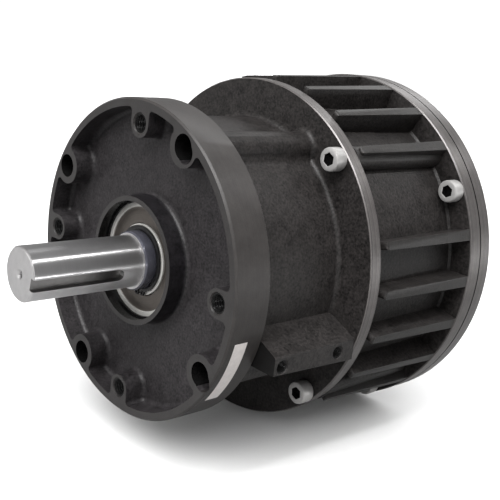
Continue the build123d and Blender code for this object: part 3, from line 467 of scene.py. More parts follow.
class Paintbox:
    """Makes each finish's material once and hands it out."""

    def __init__(self) -> None:
        """Builds the shared effects."""
        self.effects = Effects()
        self.made: dict[Coat, bpy.types.Material] = {}

    def get(self, coat: Coat) -> bpy.types.Material:
        """Makes a finish's material, or finds it if it's made already.

        Args:
            coat: the finish.

        Returns:
            The material.
        """
        if coat not in self.made:
            self.made[coat] = coat.value.material(coat.name.lower(), self.effects)
        return self.made[coat]


# Places and faces


def polar(radius: float, angle: float, along: float = 0.0) -> Vector:
    """Finds the point at a radius, an angle and a station.

    Args:
        radius: its distance from the axis, in millimetres.
        angle: its angle about the axis.
        along: its station, in millimetres.

    Returns:
        The point in metres.
    """
    turn = math.radians(angle)
    return Vector((radius * math.cos(turn), along, radius * math.sin(turn))) * MM


def round_outline(centre: Vector, radius: float, corners: int) -> list[Vector]:
    """Returns the corners of a round outline about a centre, in metres."""
    return [centre + polar(radius, 360 / corners * number) for number in range(corners)]


def station(face: Face) -> float:
    """Returns a face's place along the axis, in millimetres."""
    return face.center.y / MM


def reach(face: Face) -> float:
    """Returns the mean distance of a face's corners from the axis, in millimetres."""
    corners = [face.id_data.vertices[number].co for number in face.vertices]
    return sum(math.hypot(corner.x, corner.z) for corner in corners) / len(corners) / MM


@dataclass(frozen=True)
class Zone:
    """A zone about the axis that takes one finish.

    It holds the faces whose distance from the axis, station and normal's Y are inside its ranges.
    """

    ANYWHERE = (-math.inf, math.inf)
    FRONT = (-2.0, -0.95)
    NOT_FRONT = (-0.95, 2.0)

    reach: Range = ANYWHERE
    along: Range = ANYWHERE
    normal: Range = ANYWHERE

    def holds(self, face: Face) -> bool:
        """Tells whether a face lies in the zone.

        Args:
            face: the face.

        Returns:
            True where all three measures are inside their ranges.
        """
        measures = ((face.normal.y, self.normal), (station(face), self.along), (reach(face), self.reach))
        return all(low < value < high for value, (low, high) in measures)


# The work bench


class Bench:
    """Work on one piece at a time."""

    def __init__(self, paints: Paintbox) -> None:
        """Keeps the paint box, where materials come from."""
        self.paints = paints

    @staticmethod
    def take(obj: Piece) -> None:
        """Makes one object the only selected and the active one.

        Args:
            obj: the object.
        """
        bpy.ops.object.select_all(action="DESELECT")
        obj.select_set(True)
        bpy.context.view_layer.objects.active = obj

    @contextmanager
    def editing(self, obj: Piece) -> Iterator[None]:
        """Opens a piece in edit mode, all selected, and closes it afterwards.

        Args:
            obj: the piece.
        """
        self.take(obj)
        bpy.ops.object.mode_set(mode="EDIT")
        bpy.ops.mesh.select_all(action="SELECT")
        yield
        bpy.ops.object.mode_set(mode="OBJECT")

    @staticmethod
    def face_outwards() -> None:
        """Turns all faces of the piece that is being edited outwards."""
        bpy.ops.mesh.select_all(action="SELECT")
        bpy.ops.mesh.normals_make_consistent(inside=False)

    def copy_node(self, node: str, name: str) -> Piece:
        """Copies a CAD node's mesh as a new piece, with its loose triangles merged.

        Args:
            node: the CAD node.
            name: the new piece's name.

        Returns:
            The new object at the origin.
        """
        mesh = frame["nodes"][node].data.copy()
        mesh.name = name
        mesh.materials.clear()
        obj = bpy.data.objects.new(name, mesh)
        bpy.context.scene.collection.objects.link(obj)
        self.take(obj)
        if mesh.has_custom_normals:
            bpy.ops.mesh.customdata_custom_splitnormals_clear()
        with self.editing(obj):
            bpy.ops.mesh.remove_doubles(threshold=2 * WELD)
            bpy.ops.mesh.dissolve_limited(angle_limit=math.radians(FLAT_ANGLE), delimit={"NORMAL"})
        return obj

    @staticmethod
    def outline(points: Sequence[Vector], fill: str) -> Piece:
        """Adds a circle and moves its corners to an outline's points.

        Args:
            points: the outline's points, in metres.
            fill: what the circle is filled with, NOTHING or NGON.

        Returns:
            The new object at the origin.
        """
        bpy.ops.object.select_all(action="DESELECT")
        bpy.ops.mesh.primitive_circle_add(vertices=len(points), radius=MM, fill_type=fill)
        obj = bpy.context.object
        for vertex, point in zip(obj.data.vertices, points):
            vertex.co = point
        return obj

    def lathe(self, name: str, profile: Sequence[tuple[float, float]], steps: int) -> Piece:
        """Spins a closed profile about the Y axis.

        Args:
            name: the piece's name.
            profile: (radius, station) points in millimetres.
            steps: how many faces go round.

        Returns:
            The new object at the origin.
        """
        obj = self.outline([Vector((radius, along, 0)) * MM for radius, along in profile], "NOTHING")
        obj.name = obj.data.name = name
        with self.editing(obj):
            bpy.ops.mesh.spin(steps=steps, angle=2 * math.pi, center=(0, 0, 0), axis=(0, 1, 0))
            bpy.ops.mesh.select_all(action="SELECT")
            bpy.ops.mesh.remove_doubles(threshold=WELD)
            bpy.ops.mesh.dissolve_degenerate(threshold=WELD)
            self.face_outwards()
        return obj

    def plate(self, points: Sequence[Vector], low: float, high: float) -> Piece:
        """Makes a flat plate or a straight bar between two stations.

        Args:
            points: its outline's points at station nought, in metres.
            low: the front station in millimetres.
            high: the rear station in millimetres.

        Returns:
            The new object at the origin.
        """
        obj = self.outline([point + Vector((0, low, 0)) * MM for point in points], "NGON")
        with self.editing(obj):
            bpy.ops.mesh.extrude_region_move(TRANSFORM_OT_translate={"value": (0, (high - low) * MM, 0)})
            self.face_outwards()
        return obj

    def countersink(self, mouth: Vector, inward: Vector, radius: float) -> Piece:
        """Makes the tool for a countersink of 90 degrees.

        Args:
            mouth: the middle of the hole's mouth, in metres.
            inward: the way into the hole.
            radius: the tool's radius at the mouth, in millimetres.

        Returns:
            The tool.
        """
        profile = [(0, radius), (radius, 0), (radius, -OVERCUT), (0, -OVERCUT)]
        tool = self.lathe("countersink", profile, 32)
        turn = Vector((0, 1, 0)).rotation_difference(inward).to_matrix().to_4x4()
        tool.data.transform(Matrix.Translation(mouth) @ turn)
        return tool

    def cut(self, obj: Piece, tool: Piece) -> None:
        """Takes a tool's shape out of a piece and removes the tool.

        Args:
            obj: the piece.
            tool: the tool.
        """
        self.take(obj)
        boolean = obj.modifiers.new("cut", "BOOLEAN")
        boolean.operation = "DIFFERENCE"
        boolean.solver = "EXACT"
        boolean.object = tool
        bpy.ops.object.modifier_apply(modifier=boolean.name)
        bpy.data.objects.remove(tool)

    def round_edges(self, obj: Piece, width: float, segments: int = 2, angle: float = SHARP_ANGLE,
                    coat: Coat | None = None, stays_sharp: Callable[[Vector], bool] | None = None) -> None:
        """Rounds every outward edge sharper than an angle, with an applied Bevel modifier.

        Args:
            obj: the piece.
            width: the bevel's width in millimetres.
            segments: faces across the bevel.
            angle: the least angle between faces, in degrees.
            coat: the finish of the rounded edges, or None to keep their neighbours' finish.
            stays_sharp: a test on an edge's middle that keeps the edge sharp, or None.
        """
        self.take(obj)
        limit = math.radians(angle)
        reader = bmesh.new()
        reader.from_mesh(obj.data)
        turned = [edge.is_manifold and edge.is_convex and edge.calc_face_angle(0.0) > limit
                  and not (stays_sharp and stays_sharp((edge.verts[0].co + edge.verts[1].co) / 2))
                  for edge in reader.edges]
        reader.free()
        weights = obj.data.attributes.new("bevel_weight_edge", "FLOAT", "EDGE")
        weights.data.foreach_set("value", [1.0 if chosen else 0.0 for chosen in turned])
        bevel = obj.modifiers.new("rounded_edges", "BEVEL")
        bevel.width = width * MM
        bevel.segments = segments
        bevel.limit_method = "WEIGHT"
        if coat is not None:
            obj.data.materials.append(self.paints.get(coat))
            bevel.material = len(obj.data.materials) - 1
        bpy.ops.object.modifier_apply(modifier=bevel.name)

    def smooth(self, obj: Piece, angle: float = SHARP_ANGLE) -> None:
        """Shades smooth, but for edges sharper than an angle."""
        self.take(obj)
        bpy.ops.object.shade_smooth_by_angle(angle=math.radians(angle))

    def paint(self, obj: Piece, coat: Coat, where: FaceTest | None = None) -> None:
        """Gives a finish to a whole piece, or to the faces that a test picks.

        Args:
            obj: the piece.
            coat: the finish.
            where: the test on a face, or None for every face.
        """
        obj.data.materials.append(self.paints.get(coat))
        if where is None:
            return
        chosen = [face.index for face in obj.data.polygons if where(face)]
        with self.editing(obj):
            bpy.ops.mesh.select_mode(type="FACE")
            bpy.ops.mesh.select_all(action="DESELECT")
        for number in chosen:
            obj.data.polygons[number].select = True
        bpy.ops.object.mode_set(mode="EDIT")
        obj.active_material_index = len(obj.data.materials) - 1
        bpy.ops.object.material_slot_assign()
        bpy.ops.object.mode_set(mode="OBJECT")

    def join(self, pieces: Sequence[Piece], name: str) -> Piece:
        """Joins several pieces into the first of them.

        Args:
            pieces: the pieces.
            name: the joined piece's name.

        Returns:
            The joined piece.
        """
        self.take(pieces[0])
        for piece in pieces:
            piece.select_set(True)
        bpy.ops.object.join()
        pieces[0].name = pieces[0].data.name = name
        return pieces[0]

    @staticmethod
    def hand_over(obj: Piece, body: Body, slot: Slot, replaced: Sequence[str] = ()) -> None:
        """Ties a finished piece to its body and hides the CAD nodes that it stands for.

        Args:
            obj: the piece.
            body: the body that it rides on.
            slot: its material slot; not used.
            replaced: CAD nodes that it stands for.
        """
        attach(obj, body.value)
        if replaced:
            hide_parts(*replaced)
        LOG.info("%s rides on %s, %d faces", obj.name, body.value, len(obj.data.polygons))


# Sub-assemblies


@dataclass(frozen=True)
class Thread:
    """A cut thread: a sleeve along +Y from the origin, with a row of ridges inside."""

    radius: float
    depth: float
    pitch: float
    length: float
    root_wall: float = 0.1
    crest_share: float = 0.08
    steps: int = 40

    def build(self, bench: Bench) -> Piece:
        """Makes the sleeve.

        Args:
            bench: the work bench.

        Returns:
            The new object.
        """
        turns = int(self.length / self.pitch)
        crest, root = self.radius - self.depth, self.radius - self.root_wall
        ridge = ((crest, self.crest_share), (root, 0.5), (crest, 1 - self.crest_share))
        inside = [(radius, (turn + share) * self.pitch) for turn in range(turns) for radius, share in ridge]
        outside = [(self.radius, turns * self.pitch), (self.radius, 0.0)]
        return bench.lathe("thread", inside + outside, self.steps)


@dataclass
class OutputHousing:
    """The front casting: flange with its recess, barrel, air block and mid flange."""

    edge_radius: float = 0.45
    pilot_radius: float = 107.95
    pilot_length: float = 28.2
    pilot_margin: float = 1.3
    front_margin: float = 1.6
    recess_margin: float = 4.0
    recess_start: float = 0.6
    recess_end: float = 16.0
    hub_radius: float = 43.5
    hub_margin: float = 1.5
    bore_radius: float = 42.0
    bore_start: float = 1.3
    barrel_radius: float = 96.5
    mid_flange_radius: float = 124.5
    mid_flange_start: float = 101.4
    mid_flange_margin: float = 1.0
    bolt_circle: float = 184.15
    tapped_radius: float = 6.35
    tapped_angles: tuple[float, ...] = (0.0, 90.0, 180.0, 270.0)
    plain_circle: float = 193.6
    plain_radius: float = 8.2
    plain_angles: tuple[float, ...] = (61.5, 150.4, 239.7, 329.4)
    hole_start: float = 1.2
    hole_margin: float = 0.4
    countersink: float = 0.75
    boss_circle: float = 97.3
    boss_radius: float = 10.7
    boss_angles: tuple[float, ...] = (60.0, 150.0, 240.0, 330.0)
    crease: float = 7.0
    crease_steps: int = 10
    crease_root: float = 0.3
    crease_sink: float = 0.97
    block_side: float = 90.0
    block_margin: float = 0.5
    port_radius: float = 4.4
    port_margin: float = 0.3
    port_start: float = 0.7
    port_sink: float = 8.0
    ports: tuple[tuple[float, float, float], ...] = ((118.4, 35.2, -37.8), (118.4, 86.1, -37.8))
    thread_margin: float = 0.02
    thread_inset: float = 0.8

    def build(self, bench: Bench) -> None:
        """Makes the casting and its threads.

        Args:
            bench: the work bench.
        """
        obj = bench.copy_node("output_housing", "front_casting")
        bench.cut(obj, self._mouths(bench))
        bench.paint(obj, Coat.CAST_BLACK)
        for coat, zone in self._zones():
            bench.paint(obj, coat, zone.holds)
        # Painted shade: the walls of the flange's holes and the air ports near black.
        bench.paint(obj, Coat.BORE_SHADE_BLACK, self._in_hole)
        bench.paint(obj, Coat.SHADOW_BLACK, self._on_block_end)
        # The rounded outward edges get a painted highlight.
        bench.round_edges(obj, self.edge_radius, coat=Coat.EDGE_HIGHLIGHT_BLACK)
        obj = bench.join([obj, *self._creases(bench)], "front_casting")
        bench.smooth(obj)
        bench.hand_over(obj, Body.HOUSING, Slot.BLACK_CASTING, ("output_housing",))
        self._threads(bench)

    def _zones(self) -> list[tuple[Coat, Zone]]:
        """Lists the zones of the finishes, where a later one covers an earlier one.

        Returns:
            The recess, the hub's side in painted shade, the machined front faces, the flange's edge, the
            mid flange's rim and the bearing bore in painted shade.
        """
        recess = (0, self.pilot_radius - self.recess_margin)
        hub = (self.hub_radius - self.hub_margin, self.hub_radius + self.hub_margin)
        edge = (self.pilot_radius - self.pilot_margin, math.inf)
        rim = (self.mid_flange_radius - self.mid_flange_margin, math.inf)
        return [
            (Coat.RECESS_BLACK, Zone(recess, (self.recess_start, self.recess_end))),
            # Painted shade on the hub's side.
            (Coat.HUB_SHADE_BLACK, Zone(hub, (1.0, self.recess_end - self.hub_margin), (-0.6, 0.6))),
            (Coat.FACED_BLACK, Zone(along=(-1.0, self.front_margin), normal=Zone.FRONT)),
            (Coat.FLANGE_EDGE_BLACK, Zone(edge, (-0.1, self.pilot_length), Zone.NOT_FRONT)),
            (Coat.TURNED_BLACK, Zone(rim, (self.mid_flange_start, math.inf))),
            # Painted shade in the bearing bore.
            (Coat.BORE_SHADE_BLACK, Zone((0, self.bore_radius), (self.bore_start, math.inf))),
        ]

    def _holes(self) -> list[tuple[Vector, float]]:
        """Lists the holes in the front flange.

        Returns:
            The middle of each one in metres, with its radius in millimetres.
        """
        tapped = [(polar(self.bolt_circle / 2, angle), self.tapped_radius) for angle in self.tapped_angles]
        plain = [(polar(self.plain_circle / 2, angle), self.plain_radius) for angle in self.plain_angles]
        return tapped + plain

    def _in_hole(self, face: Face) -> bool:
        """Tells whether a face is the wall of a hole in the front flange or the air block.

        Args:
            face: the face.

        Returns:
            True if it is.
        """
        x, y, z = (value / MM for value in face.center)
        if self.hole_start < y < self.pilot_length and abs(face.normal.y) < 0.9:
            for middle, radius in self._holes():
                if math.hypot(x - middle.x / MM, z - middle.z / MM) < radius + self.hole_margin:
                    return True
        return any(math.hypot(y - port[1], z - port[2]) < self.port_radius + self.port_margin
                   and self.barrel_radius - self.port_sink < x < port[0] - self.port_start
                   for port in self.ports)

    def _on_block_end(self, face: Face) -> bool:
        """Tells whether a face is the air block's end that looks at the front flange."""
        along = (self.pilot_length - self.block_margin, self.pilot_length + self.block_margin)
        return face.center.x / MM > self.block_side and Zone(along=along, normal=(-2.0, -0.9)).holds(face)

    def _mouths(self, bench: Bench) -> Piece:
        """Makes the countersinks of the tapped holes and the air ports as one tool.

        Args:
            bench: the work bench.

        Returns:
            The tool.
        """
        wide, narrow = self.tapped_radius + self.countersink, self.port_radius + self.countersink
        tools = [bench.countersink(polar(self.bolt_circle / 2, angle), Vector((0, 1, 0)), wide)
                 for angle in self.tapped_angles]
        tools += [bench.countersink(Vector(place) * MM, Vector((-1, 0, 0)), narrow) for place in self.ports]
        return bench.join(tools, "countersinks")

    def _creases(self, bench: Bench) -> list[Piece]:
        """Makes the rounded fillings where the long bosses run into the barrel.

        Args:
            bench: the work bench.

        Returns:
            Two bars for each boss.
        """
        bars = []
        barrel_out, boss_out = self.barrel_radius + self.crease, self.boss_radius + self.crease
        middle = self.boss_circle
        opening = math.acos((middle ** 2 + barrel_out ** 2 - boss_out ** 2) / (2 * middle * barrel_out))
        for angle in self.boss_angles:
            boss = polar(middle, angle)
            for side in (-1, 1):
                centre = polar(barrel_out, angle + side * math.degrees(opening))
                start = centre.normalized() * self.barrel_radius * MM
                end = boss + (centre - boss).normalized() * self.boss_radius * MM
                first, last = (start - centre).normalized(), (end - centre).normalized()
                arc = [centre + first.slerp(last, step / self.crease_steps) * self.crease * MM
                       for step in range(self.crease_steps + 1)]
                inner = [end.lerp(boss, self.crease_root), start * self.crease_sink]
                bar = bench.plate(arc + inner, self.pilot_length - OVERCUT, self.mid_flange_start + OVERCUT)
                bench.paint(bar, Coat.CAST_BLACK)
                bars.append(bar)
        return bars

    def _threads(self, bench: Bench) -> None:
        """Makes the threads of the four tapped holes and the two air ports.

        Args:
            bench: the work bench.
        """
        flange_thread = Thread(self.tapped_radius - self.thread_margin, depth=0.85, pitch=1.95, length=22.0)
        port_thread = Thread(self.port_radius - self.thread_margin, depth=0.55, pitch=0.94, length=13.0)
        sideways = Matrix.Rotation(math.radians(90), 4, "Z")
        inset = self.thread_inset
        places = [(flange_thread, Matrix.Translation(polar(self.bolt_circle / 2, angle, inset)))
                  for angle in self.tapped_angles]
        places += [(port_thread, Matrix.Translation(Vector((x - inset, y, z)) * MM) @ sideways)
                   for x, y, z in self.ports]
        pieces = []
        for thread, place in places:
            piece = thread.build(bench)
            piece.data.transform(place)
            pieces.append(piece)
        threads = bench.join(pieces, "housing_threads")
        bench.smooth(threads, angle=20)
        # Painted shade: the threads near black.
        bench.paint(threads, Coat.BORE_SHADE_BLACK)
        bench.hand_over(threads, Body.HOUSING, Slot.BLACK_MACHINED)


@dataclass
class Bearing:
    """The front ball bearing as it shows: chamfered races and two pressed shields with rolled edges."""

    start: float = 10.0
    width: float = 18.0
    bore: float = 40.0
    outside: float = 80.0
    wall: float = 4.4
    play: float = 0.3
    chamfer: float = 0.9
    corner: float = 0.3
    shield_inset: float = 0.8

    def build(self, bench: Bench) -> None:
        """Makes the races and the shields.

        Args:
            bench: the work bench.
        """
        start, end, chamfer, corner = self.start, self.start + self.width, self.chamfer, self.corner
        outer, inner = self.outside / 2, self.bore / 2
        land, seat = outer - self.wall, inner + self.wall
        race = bench.lathe("front_outer_race", [
            (land + corner, start), (outer - chamfer - corner, start), (outer - corner, start + 0.35),
            (outer, start + chamfer), (outer, end - chamfer), (outer - chamfer, end), (land, end),
            (land, start + corner)], steps=160)
        self._dress(bench, race, Coat.RACE_STEEL, Slot.BEARING_STEEL, Body.HOUSING, "outer_race")
        core = bench.lathe("front_inner_race", [
            (inner, start + chamfer), (inner + chamfer, start), (seat - corner, start),
            (seat, start + corner), (seat, end), (inner + chamfer, end), (inner, end - chamfer)],
            steps=128)
        self._dress(bench, core, Coat.RACE_STEEL, Slot.BEARING_STEEL, Body.OUTPUT, "inner_race")
        shields = bench.join([self._shield(bench, start + self.shield_inset, 1, land, seat + self.play),
                              self._shield(bench, end - self.shield_inset, -1, land, seat + self.play)],
                             "front_shields")
        self._dress(bench, shields, Coat.SHIELD_STEEL, Slot.SHIELD_STEEL, Body.HOUSING, "shields")

    @staticmethod
    def _shield(bench: Bench, face: float, way: int, land: float, near: float) -> Piece:
        """Makes one shield.

        Args:
            bench: the work bench.
            face: the station of its face.
            way: the way into the bearing, 1 or -1.
            land: its outer radius.
            near: its inner radius.

        Returns:
            The new object.
        """
        lip, step = near + 1.4, land - 1.6
        outline = [
            (near, 1.3), (near, 0.5), (near + 0.3, 0.1), (lip, 0), (step - 0.8, 0), (step, 0.25),
            (land - 0.6, 0.25), (land - 0.05, 0.1), (land - 0.05, 0.75), (step, 0.75), (step - 0.9, 0.55),
            (lip, 0.55), (near + 0.5, 0.7), (near + 0.5, 1.3)]
        return bench.lathe("shield", [(radius, face + way * depth) for radius, depth in outline],
                           steps=144)

    @staticmethod
    def _dress(bench: Bench, obj: Piece, coat: Coat, slot: Slot, body: Body, part: str) -> None:
        """Smooths, paints and hands over one piece of the bearing.

        Args:
            bench: the work bench.
            obj: the piece.
            coat: its finish.
            slot: its material slot.
            body: the body that it rides on.
            part: the end of its CAD node's name.
        """
        bench.smooth(obj, angle=28)
        bench.paint(obj, coat)
        bench.hand_over(obj, body, slot, (f"front_bearing_{part}",))


@dataclass
class Shaft:
    """The keyed output shaft."""

    edge_radius: float = 0.15
    radius: float = 17.4625
    near_tip: float = -77.0
    collar_end: float = 8.3

    def build(self, bench: Bench) -> None:
        """Makes the shaft.

        Args:
            bench: the work bench.
        """
        outside, inside = (self.radius + 1, math.inf), (5, self.radius - 0.5)
        collar = Zone(outside, (0, self.collar_end), Zone.NOT_FRONT)
        keyway = Zone(inside, (self.near_tip, -0.5), (-0.95, 0.95))
        shaft = bench.copy_node("output_shaft", "keyed_shaft")
        bench.paint(shaft, Coat.GROUND_STEEL)
        bench.paint(shaft, Coat.FACED_STEEL, self._on_end)
        bench.paint(shaft, Coat.BLUED_STEEL, collar.holds)
        bench.paint(shaft, Coat.MILLED_STEEL, keyway.holds)
        bench.round_edges(shaft, self.edge_radius)
        bench.smooth(shaft)
        bench.hand_over(shaft, Body.OUTPUT, Slot.GROUND_STEEL, ("output_shaft",))

    def _on_end(self, face: Face) -> bool:
        """Tells whether a face is on the shaft's rounded end or on a step that looks to the front."""
        tip = Zone(along=(-math.inf, self.near_tip), normal=(-2.0, -0.3))
        return tip.holds(face) or Zone(along=(-math.inf, 2), normal=Zone.FRONT).holds(face)


@dataclass
class ShaftClip:
    """The retaining ring in front of the bearing: a tapering ring with an eye at each end."""

    inner_radius: float = 20.0
    outer_radius: float = 22.9
    shift: float = 0.55
    gap_angle: float = 278.0
    half_gap: float = 9.0
    eye_radius: float = 2.1
    eye_hole: float = 0.95
    eye_circle: float = 22.6
    eye_inset: float = 1.2
    edge_radius: float = 0.18
    steps: int = 72

    def build(self, bench: Bench) -> None:
        """Makes the ring where the CAD node lies.

        Args:
            bench: the work bench.
        """
        low, high = (corner[1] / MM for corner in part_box("shaft_retaining_ring"))
        points = [self._outer(step) for step in range(self.steps + 1)]
        points += [polar(self.inner_radius, self._angle(step)) for step in range(self.steps, -1, -1)]
        pieces = [bench.plate(points, low, high)]
        for side in (-1, 1):
            centre = polar(self.eye_circle, self.gap_angle + side * (self.half_gap - self.eye_inset))
            eye = bench.plate(round_outline(centre, self.eye_radius, 24), low, high)
            hole = round_outline(centre, self.eye_hole, 16)
            bench.cut(eye, bench.plate(hole, low - OVERCUT, high + OVERCUT))
            pieces.append(eye)
        clip = bench.join(pieces, "shaft_clip")
        bench.round_edges(clip, self.edge_radius)
        bench.smooth(clip)
        bench.paint(clip, Coat.SPRING_STEEL)
        bench.hand_over(clip, Body.OUTPUT, Slot.SPRING_STEEL, ("shaft_retaining_ring",))

    def _angle(self, step: int) -> float:
        """Returns the angle of one step along the ring, from one end to the other."""
        return self.gap_angle + self.half_gap + (360 - 2 * self.half_gap) * step / self.steps

    def _outer(self, step: int) -> Vector:
        """Returns a point of the outer edge, whose circle is shifted away from the gap."""
        return polar(self.outer_radius, self._angle(step)) - polar(self.shift, self.gap_angle)


@dataclass(frozen=True)
class JointLine:
    """The narrow dark groove round the edge where two turned parts meet."""

    radius: float
    place: float
    half_width: float = 0.6
    depth: float = 0.9
    margin: float = 0.1
    steps: int = 192

    def cut(self, bench: Bench, obj: Piece) -> None:
        """Cuts the groove into one of the two parts.

        Args:
            bench: the work bench.
            obj: the part.
        """
        low, high = self.place - self.half_width, self.place + self.half_width
        bottom, out = self.radius - self.depth, self.radius + OVERCUT
        profile = [(bottom, low), (out, low), (out, high), (bottom, high)]
        bench.cut(obj, bench.lathe("joint_groove", profile, self.steps))

    def zone(self) -> Zone:
        """Returns the zone of the faces in the groove."""
        across = (self.radius - self.depth - self.margin, self.radius - self.margin)
        half = self.half_width + self.margin
        return Zone(across, (self.place - half, self.place + half))

    def near(self, point: Vector) -> bool:
        """Tells whether a point is on the groove's edges."""
        return abs(point.y / MM - self.place) < self.half_width + 2 * self.margin \
            and math.hypot(point.x, point.z) / MM > self.radius - self.depth - 5 * self.margin


REAR_JOINT = JointLine(131.6, 217.0)


@dataclass
class FinnedHousing:
    """The finned casting behind the mid flange."""

    edge_radius: float = 0.7
    rim_radius: float = 131.6
    rim_start: float = 204.7
    fin_start: float = 113.0
    fin_reach: float = 122.0

    def build(self, bench: Bench) -> None:
        """Makes the finned casting.

        Args:
            bench: the work bench.
        """
        fin_tops = Zone((self.fin_reach, math.inf), (self.fin_start, self.rim_start - 1), (-0.4, 0.4))
        rim = Zone((self.rim_radius - 0.9, math.inf), (self.rim_start, math.inf))
        obj = bench.copy_node("finned_housing", "finned_casting")
        REAR_JOINT.cut(bench, obj)
        bench.paint(obj, Coat.CAST_BLACK)
        # The fin tops get their smoother coat with a painted highlight.
        bench.paint(obj, Coat.FIN_TOP_HIGHLIGHT_BLACK, fin_tops.holds)
        bench.paint(obj, Coat.TURNED_BLACK, rim.holds)
        bench.paint(obj, Coat.SHADOW_BLACK, REAR_JOINT.zone().holds)
        # The rounded outward edges get a painted highlight.
        bench.round_edges(obj, self.edge_radius, segments=3, coat=Coat.EDGE_HIGHLIGHT_BLACK,
                          stays_sharp=REAR_JOINT.near)
        bench.smooth(obj)
        bench.hand_over(obj, Body.HOUSING, Slot.BLACK_CASTING, ("finned_housing",))


@dataclass
class MotorAdapter:
    """The turned ring that takes the motor."""

    edge_radius: float = 0.5

    def build(self, bench: Bench) -> None:
        """Makes the adapter ring.

        Args:
            bench: the work bench.
        """
        obj = bench.copy_node("motor_adapter", "adapter_ring")
        REAR_JOINT.cut(bench, obj)
        bench.paint(obj, Coat.TURNED_BLACK)
        bench.paint(obj, Coat.SHADOW_BLACK, REAR_JOINT.zone().holds)
        bench.round_edges(obj, self.edge_radius, coat=Coat.FACED_BLACK, stays_sharp=REAR_JOINT.near)
        bench.smooth(obj)
        bench.hand_over(obj, Body.HOUSING, Slot.BLACK_MACHINED, ("motor_adapter",))


@dataclass
class CapScrews:
    """Four socket head cap screws with knurled heads."""

    name: str
    node: str
    circle: float
    first_angle: float
    seat: float
    length: float
    count: int = 4
    head_radius: float = 8.0
    head_height: float = 10.0
    shank_radius: float = 5.0
    shank_chamfer: float = 0.8
    socket_size: float = 8.0
    socket_depth: float = 5.0
    ridges: int = 36
    ridge_depth: float = 0.12
    tightened: float = 17.0
    edge_radius: float = 0.2

    def build(self, bench: Bench) -> None:
        """Makes the screws as one piece, each tightened to another angle.

        Args:
            bench: the work bench.
        """
        model = self._one(bench)
        screws = []
        for number in range(self.count):
            screw = model.copy()
            screw.data = model.data.copy()
            bpy.context.scene.collection.objects.link(screw)
            centre = polar(self.circle / 2, self.first_angle + 360 / self.count * number, self.seat)
            turn = Matrix.Rotation(math.radians(self.tightened * number), 4, "Y")
            screw.data.transform(Matrix.Translation(centre) @ turn)
            screws.append(screw)
        bpy.data.objects.remove(model)
        whole = bench.join(screws, self.name)
        bench.smooth(whole, angle=25)
        bench.hand_over(whole, Body.HOUSING, Slot.SCREW_STEEL, (self.node,))

    def _one(self, bench: Bench) -> Piece:
        """Makes one screw at the origin, with its head towards -Y and its seat at station nought.

        Args:
            bench: the work bench.

        Returns:
            The screw.
        """
        top, head, shank, length = -self.head_height, self.head_radius, self.shank_radius, self.length
        body = bench.lathe("screw", [
            (0, top), (head - 1.7, top), (head - 0.7, top + 0.25), (head - 0.2, top + 0.75),
            (head, top + 1.5), (head, -0.9), (head - 0.3, -0.3), (head - 0.6, 0), (shank, 0),
            (shank, length - self.shank_chamfer), (shank - self.shank_chamfer, length), (0, length)],
            steps=self.ridges * 2)
        for vertex in body.data.vertices:
            radius = math.hypot(vertex.co.x, vertex.co.z) / MM
            ray = math.atan2(vertex.co.z, vertex.co.x) / math.pi * self.ridges
            if radius > head - 0.1 and top + 1.4 < vertex.co.y / MM < -0.8 and round(ray) % 2:
                vertex.co.x *= 1 - self.ridge_depth / head
                vertex.co.z *= 1 - self.ridge_depth / head
        bench.cut(body, self._socket_tool(top))
        bench.paint(body, Coat.ZINC_SCREW)
        # Painted shade: the hex socket near black.
        socket = Zone((0, self.socket_size * 0.62), (top + 0.2, 0))
        bench.paint(body, Coat.SOCKET_SHADE_DARK, socket.holds)
        bench.round_edges(body, self.edge_radius, segments=1, angle=50)
        return body

    def _socket_tool(self, top: float) -> Piece:
        """Makes the hexagonal tool that cuts the socket.

        Args:
            top: the station of the head's top, where the tool has its middle.

        Returns:
            The tool.
        """
        bpy.ops.object.select_all(action="DESELECT")
        corner_radius = self.socket_size / 2 / math.cos(math.pi / 6)
        bpy.ops.mesh.primitive_cylinder_add(
            vertices=6, radius=corner_radius * MM, depth=self.socket_depth * 2 * MM,
            rotation=(math.pi / 2, 0, 0), location=(0, top * MM, 0))
        bpy.ops.object.transform_apply(location=True, rotation=True, scale=True)
        return bpy.context.object


@dataclass
class Label:
    """The blank label on the flange's edge."""

    radius: float = 107.97
    low_station: float = 5.5
    high_station: float = 15.5
    low_angle: float = -38.6
    high_angle: float = -12.0
    thickness: float = 0.12

    def build(self, bench: Bench) -> None:
        """Makes the strip, laid on the flange's edge.

        Args:
            bench: the work bench.
        """
        bpy.ops.object.select_all(action="DESELECT")
        bpy.ops.mesh.primitive_grid_add(x_subdivisions=28, y_subdivisions=4, size=1)
        obj = bpy.context.object
        obj.name = obj.data.name = "blank_label"
        for vertex in obj.data.vertices:
            angle = self.low_angle + (vertex.co.x + 0.5) * (self.high_angle - self.low_angle)
            along = self.low_station + (vertex.co.y + 0.5) * (self.high_station - self.low_station)
            vertex.co = polar(self.radius, angle, along)
        with bench.editing(obj):
            bench.face_outwards()
        solid = obj.modifiers.new("thickness", "SOLIDIFY")
        solid.thickness = self.thickness * MM
        solid.offset = 0
        bpy.ops.object.modifier_apply(modifier=solid.name)
        for vertex in obj.data.vertices:
            vertex.co += Vector((vertex.co.x, 0, vertex.co.z)).normalized() * self.thickness / 2 * MM
        bench.smooth(obj, angle=40)
        bench.paint(obj, Coat.BLANK_LABEL)
        bench.hand_over(obj, Body.HOUSING, Slot.BLACK_MACHINED)


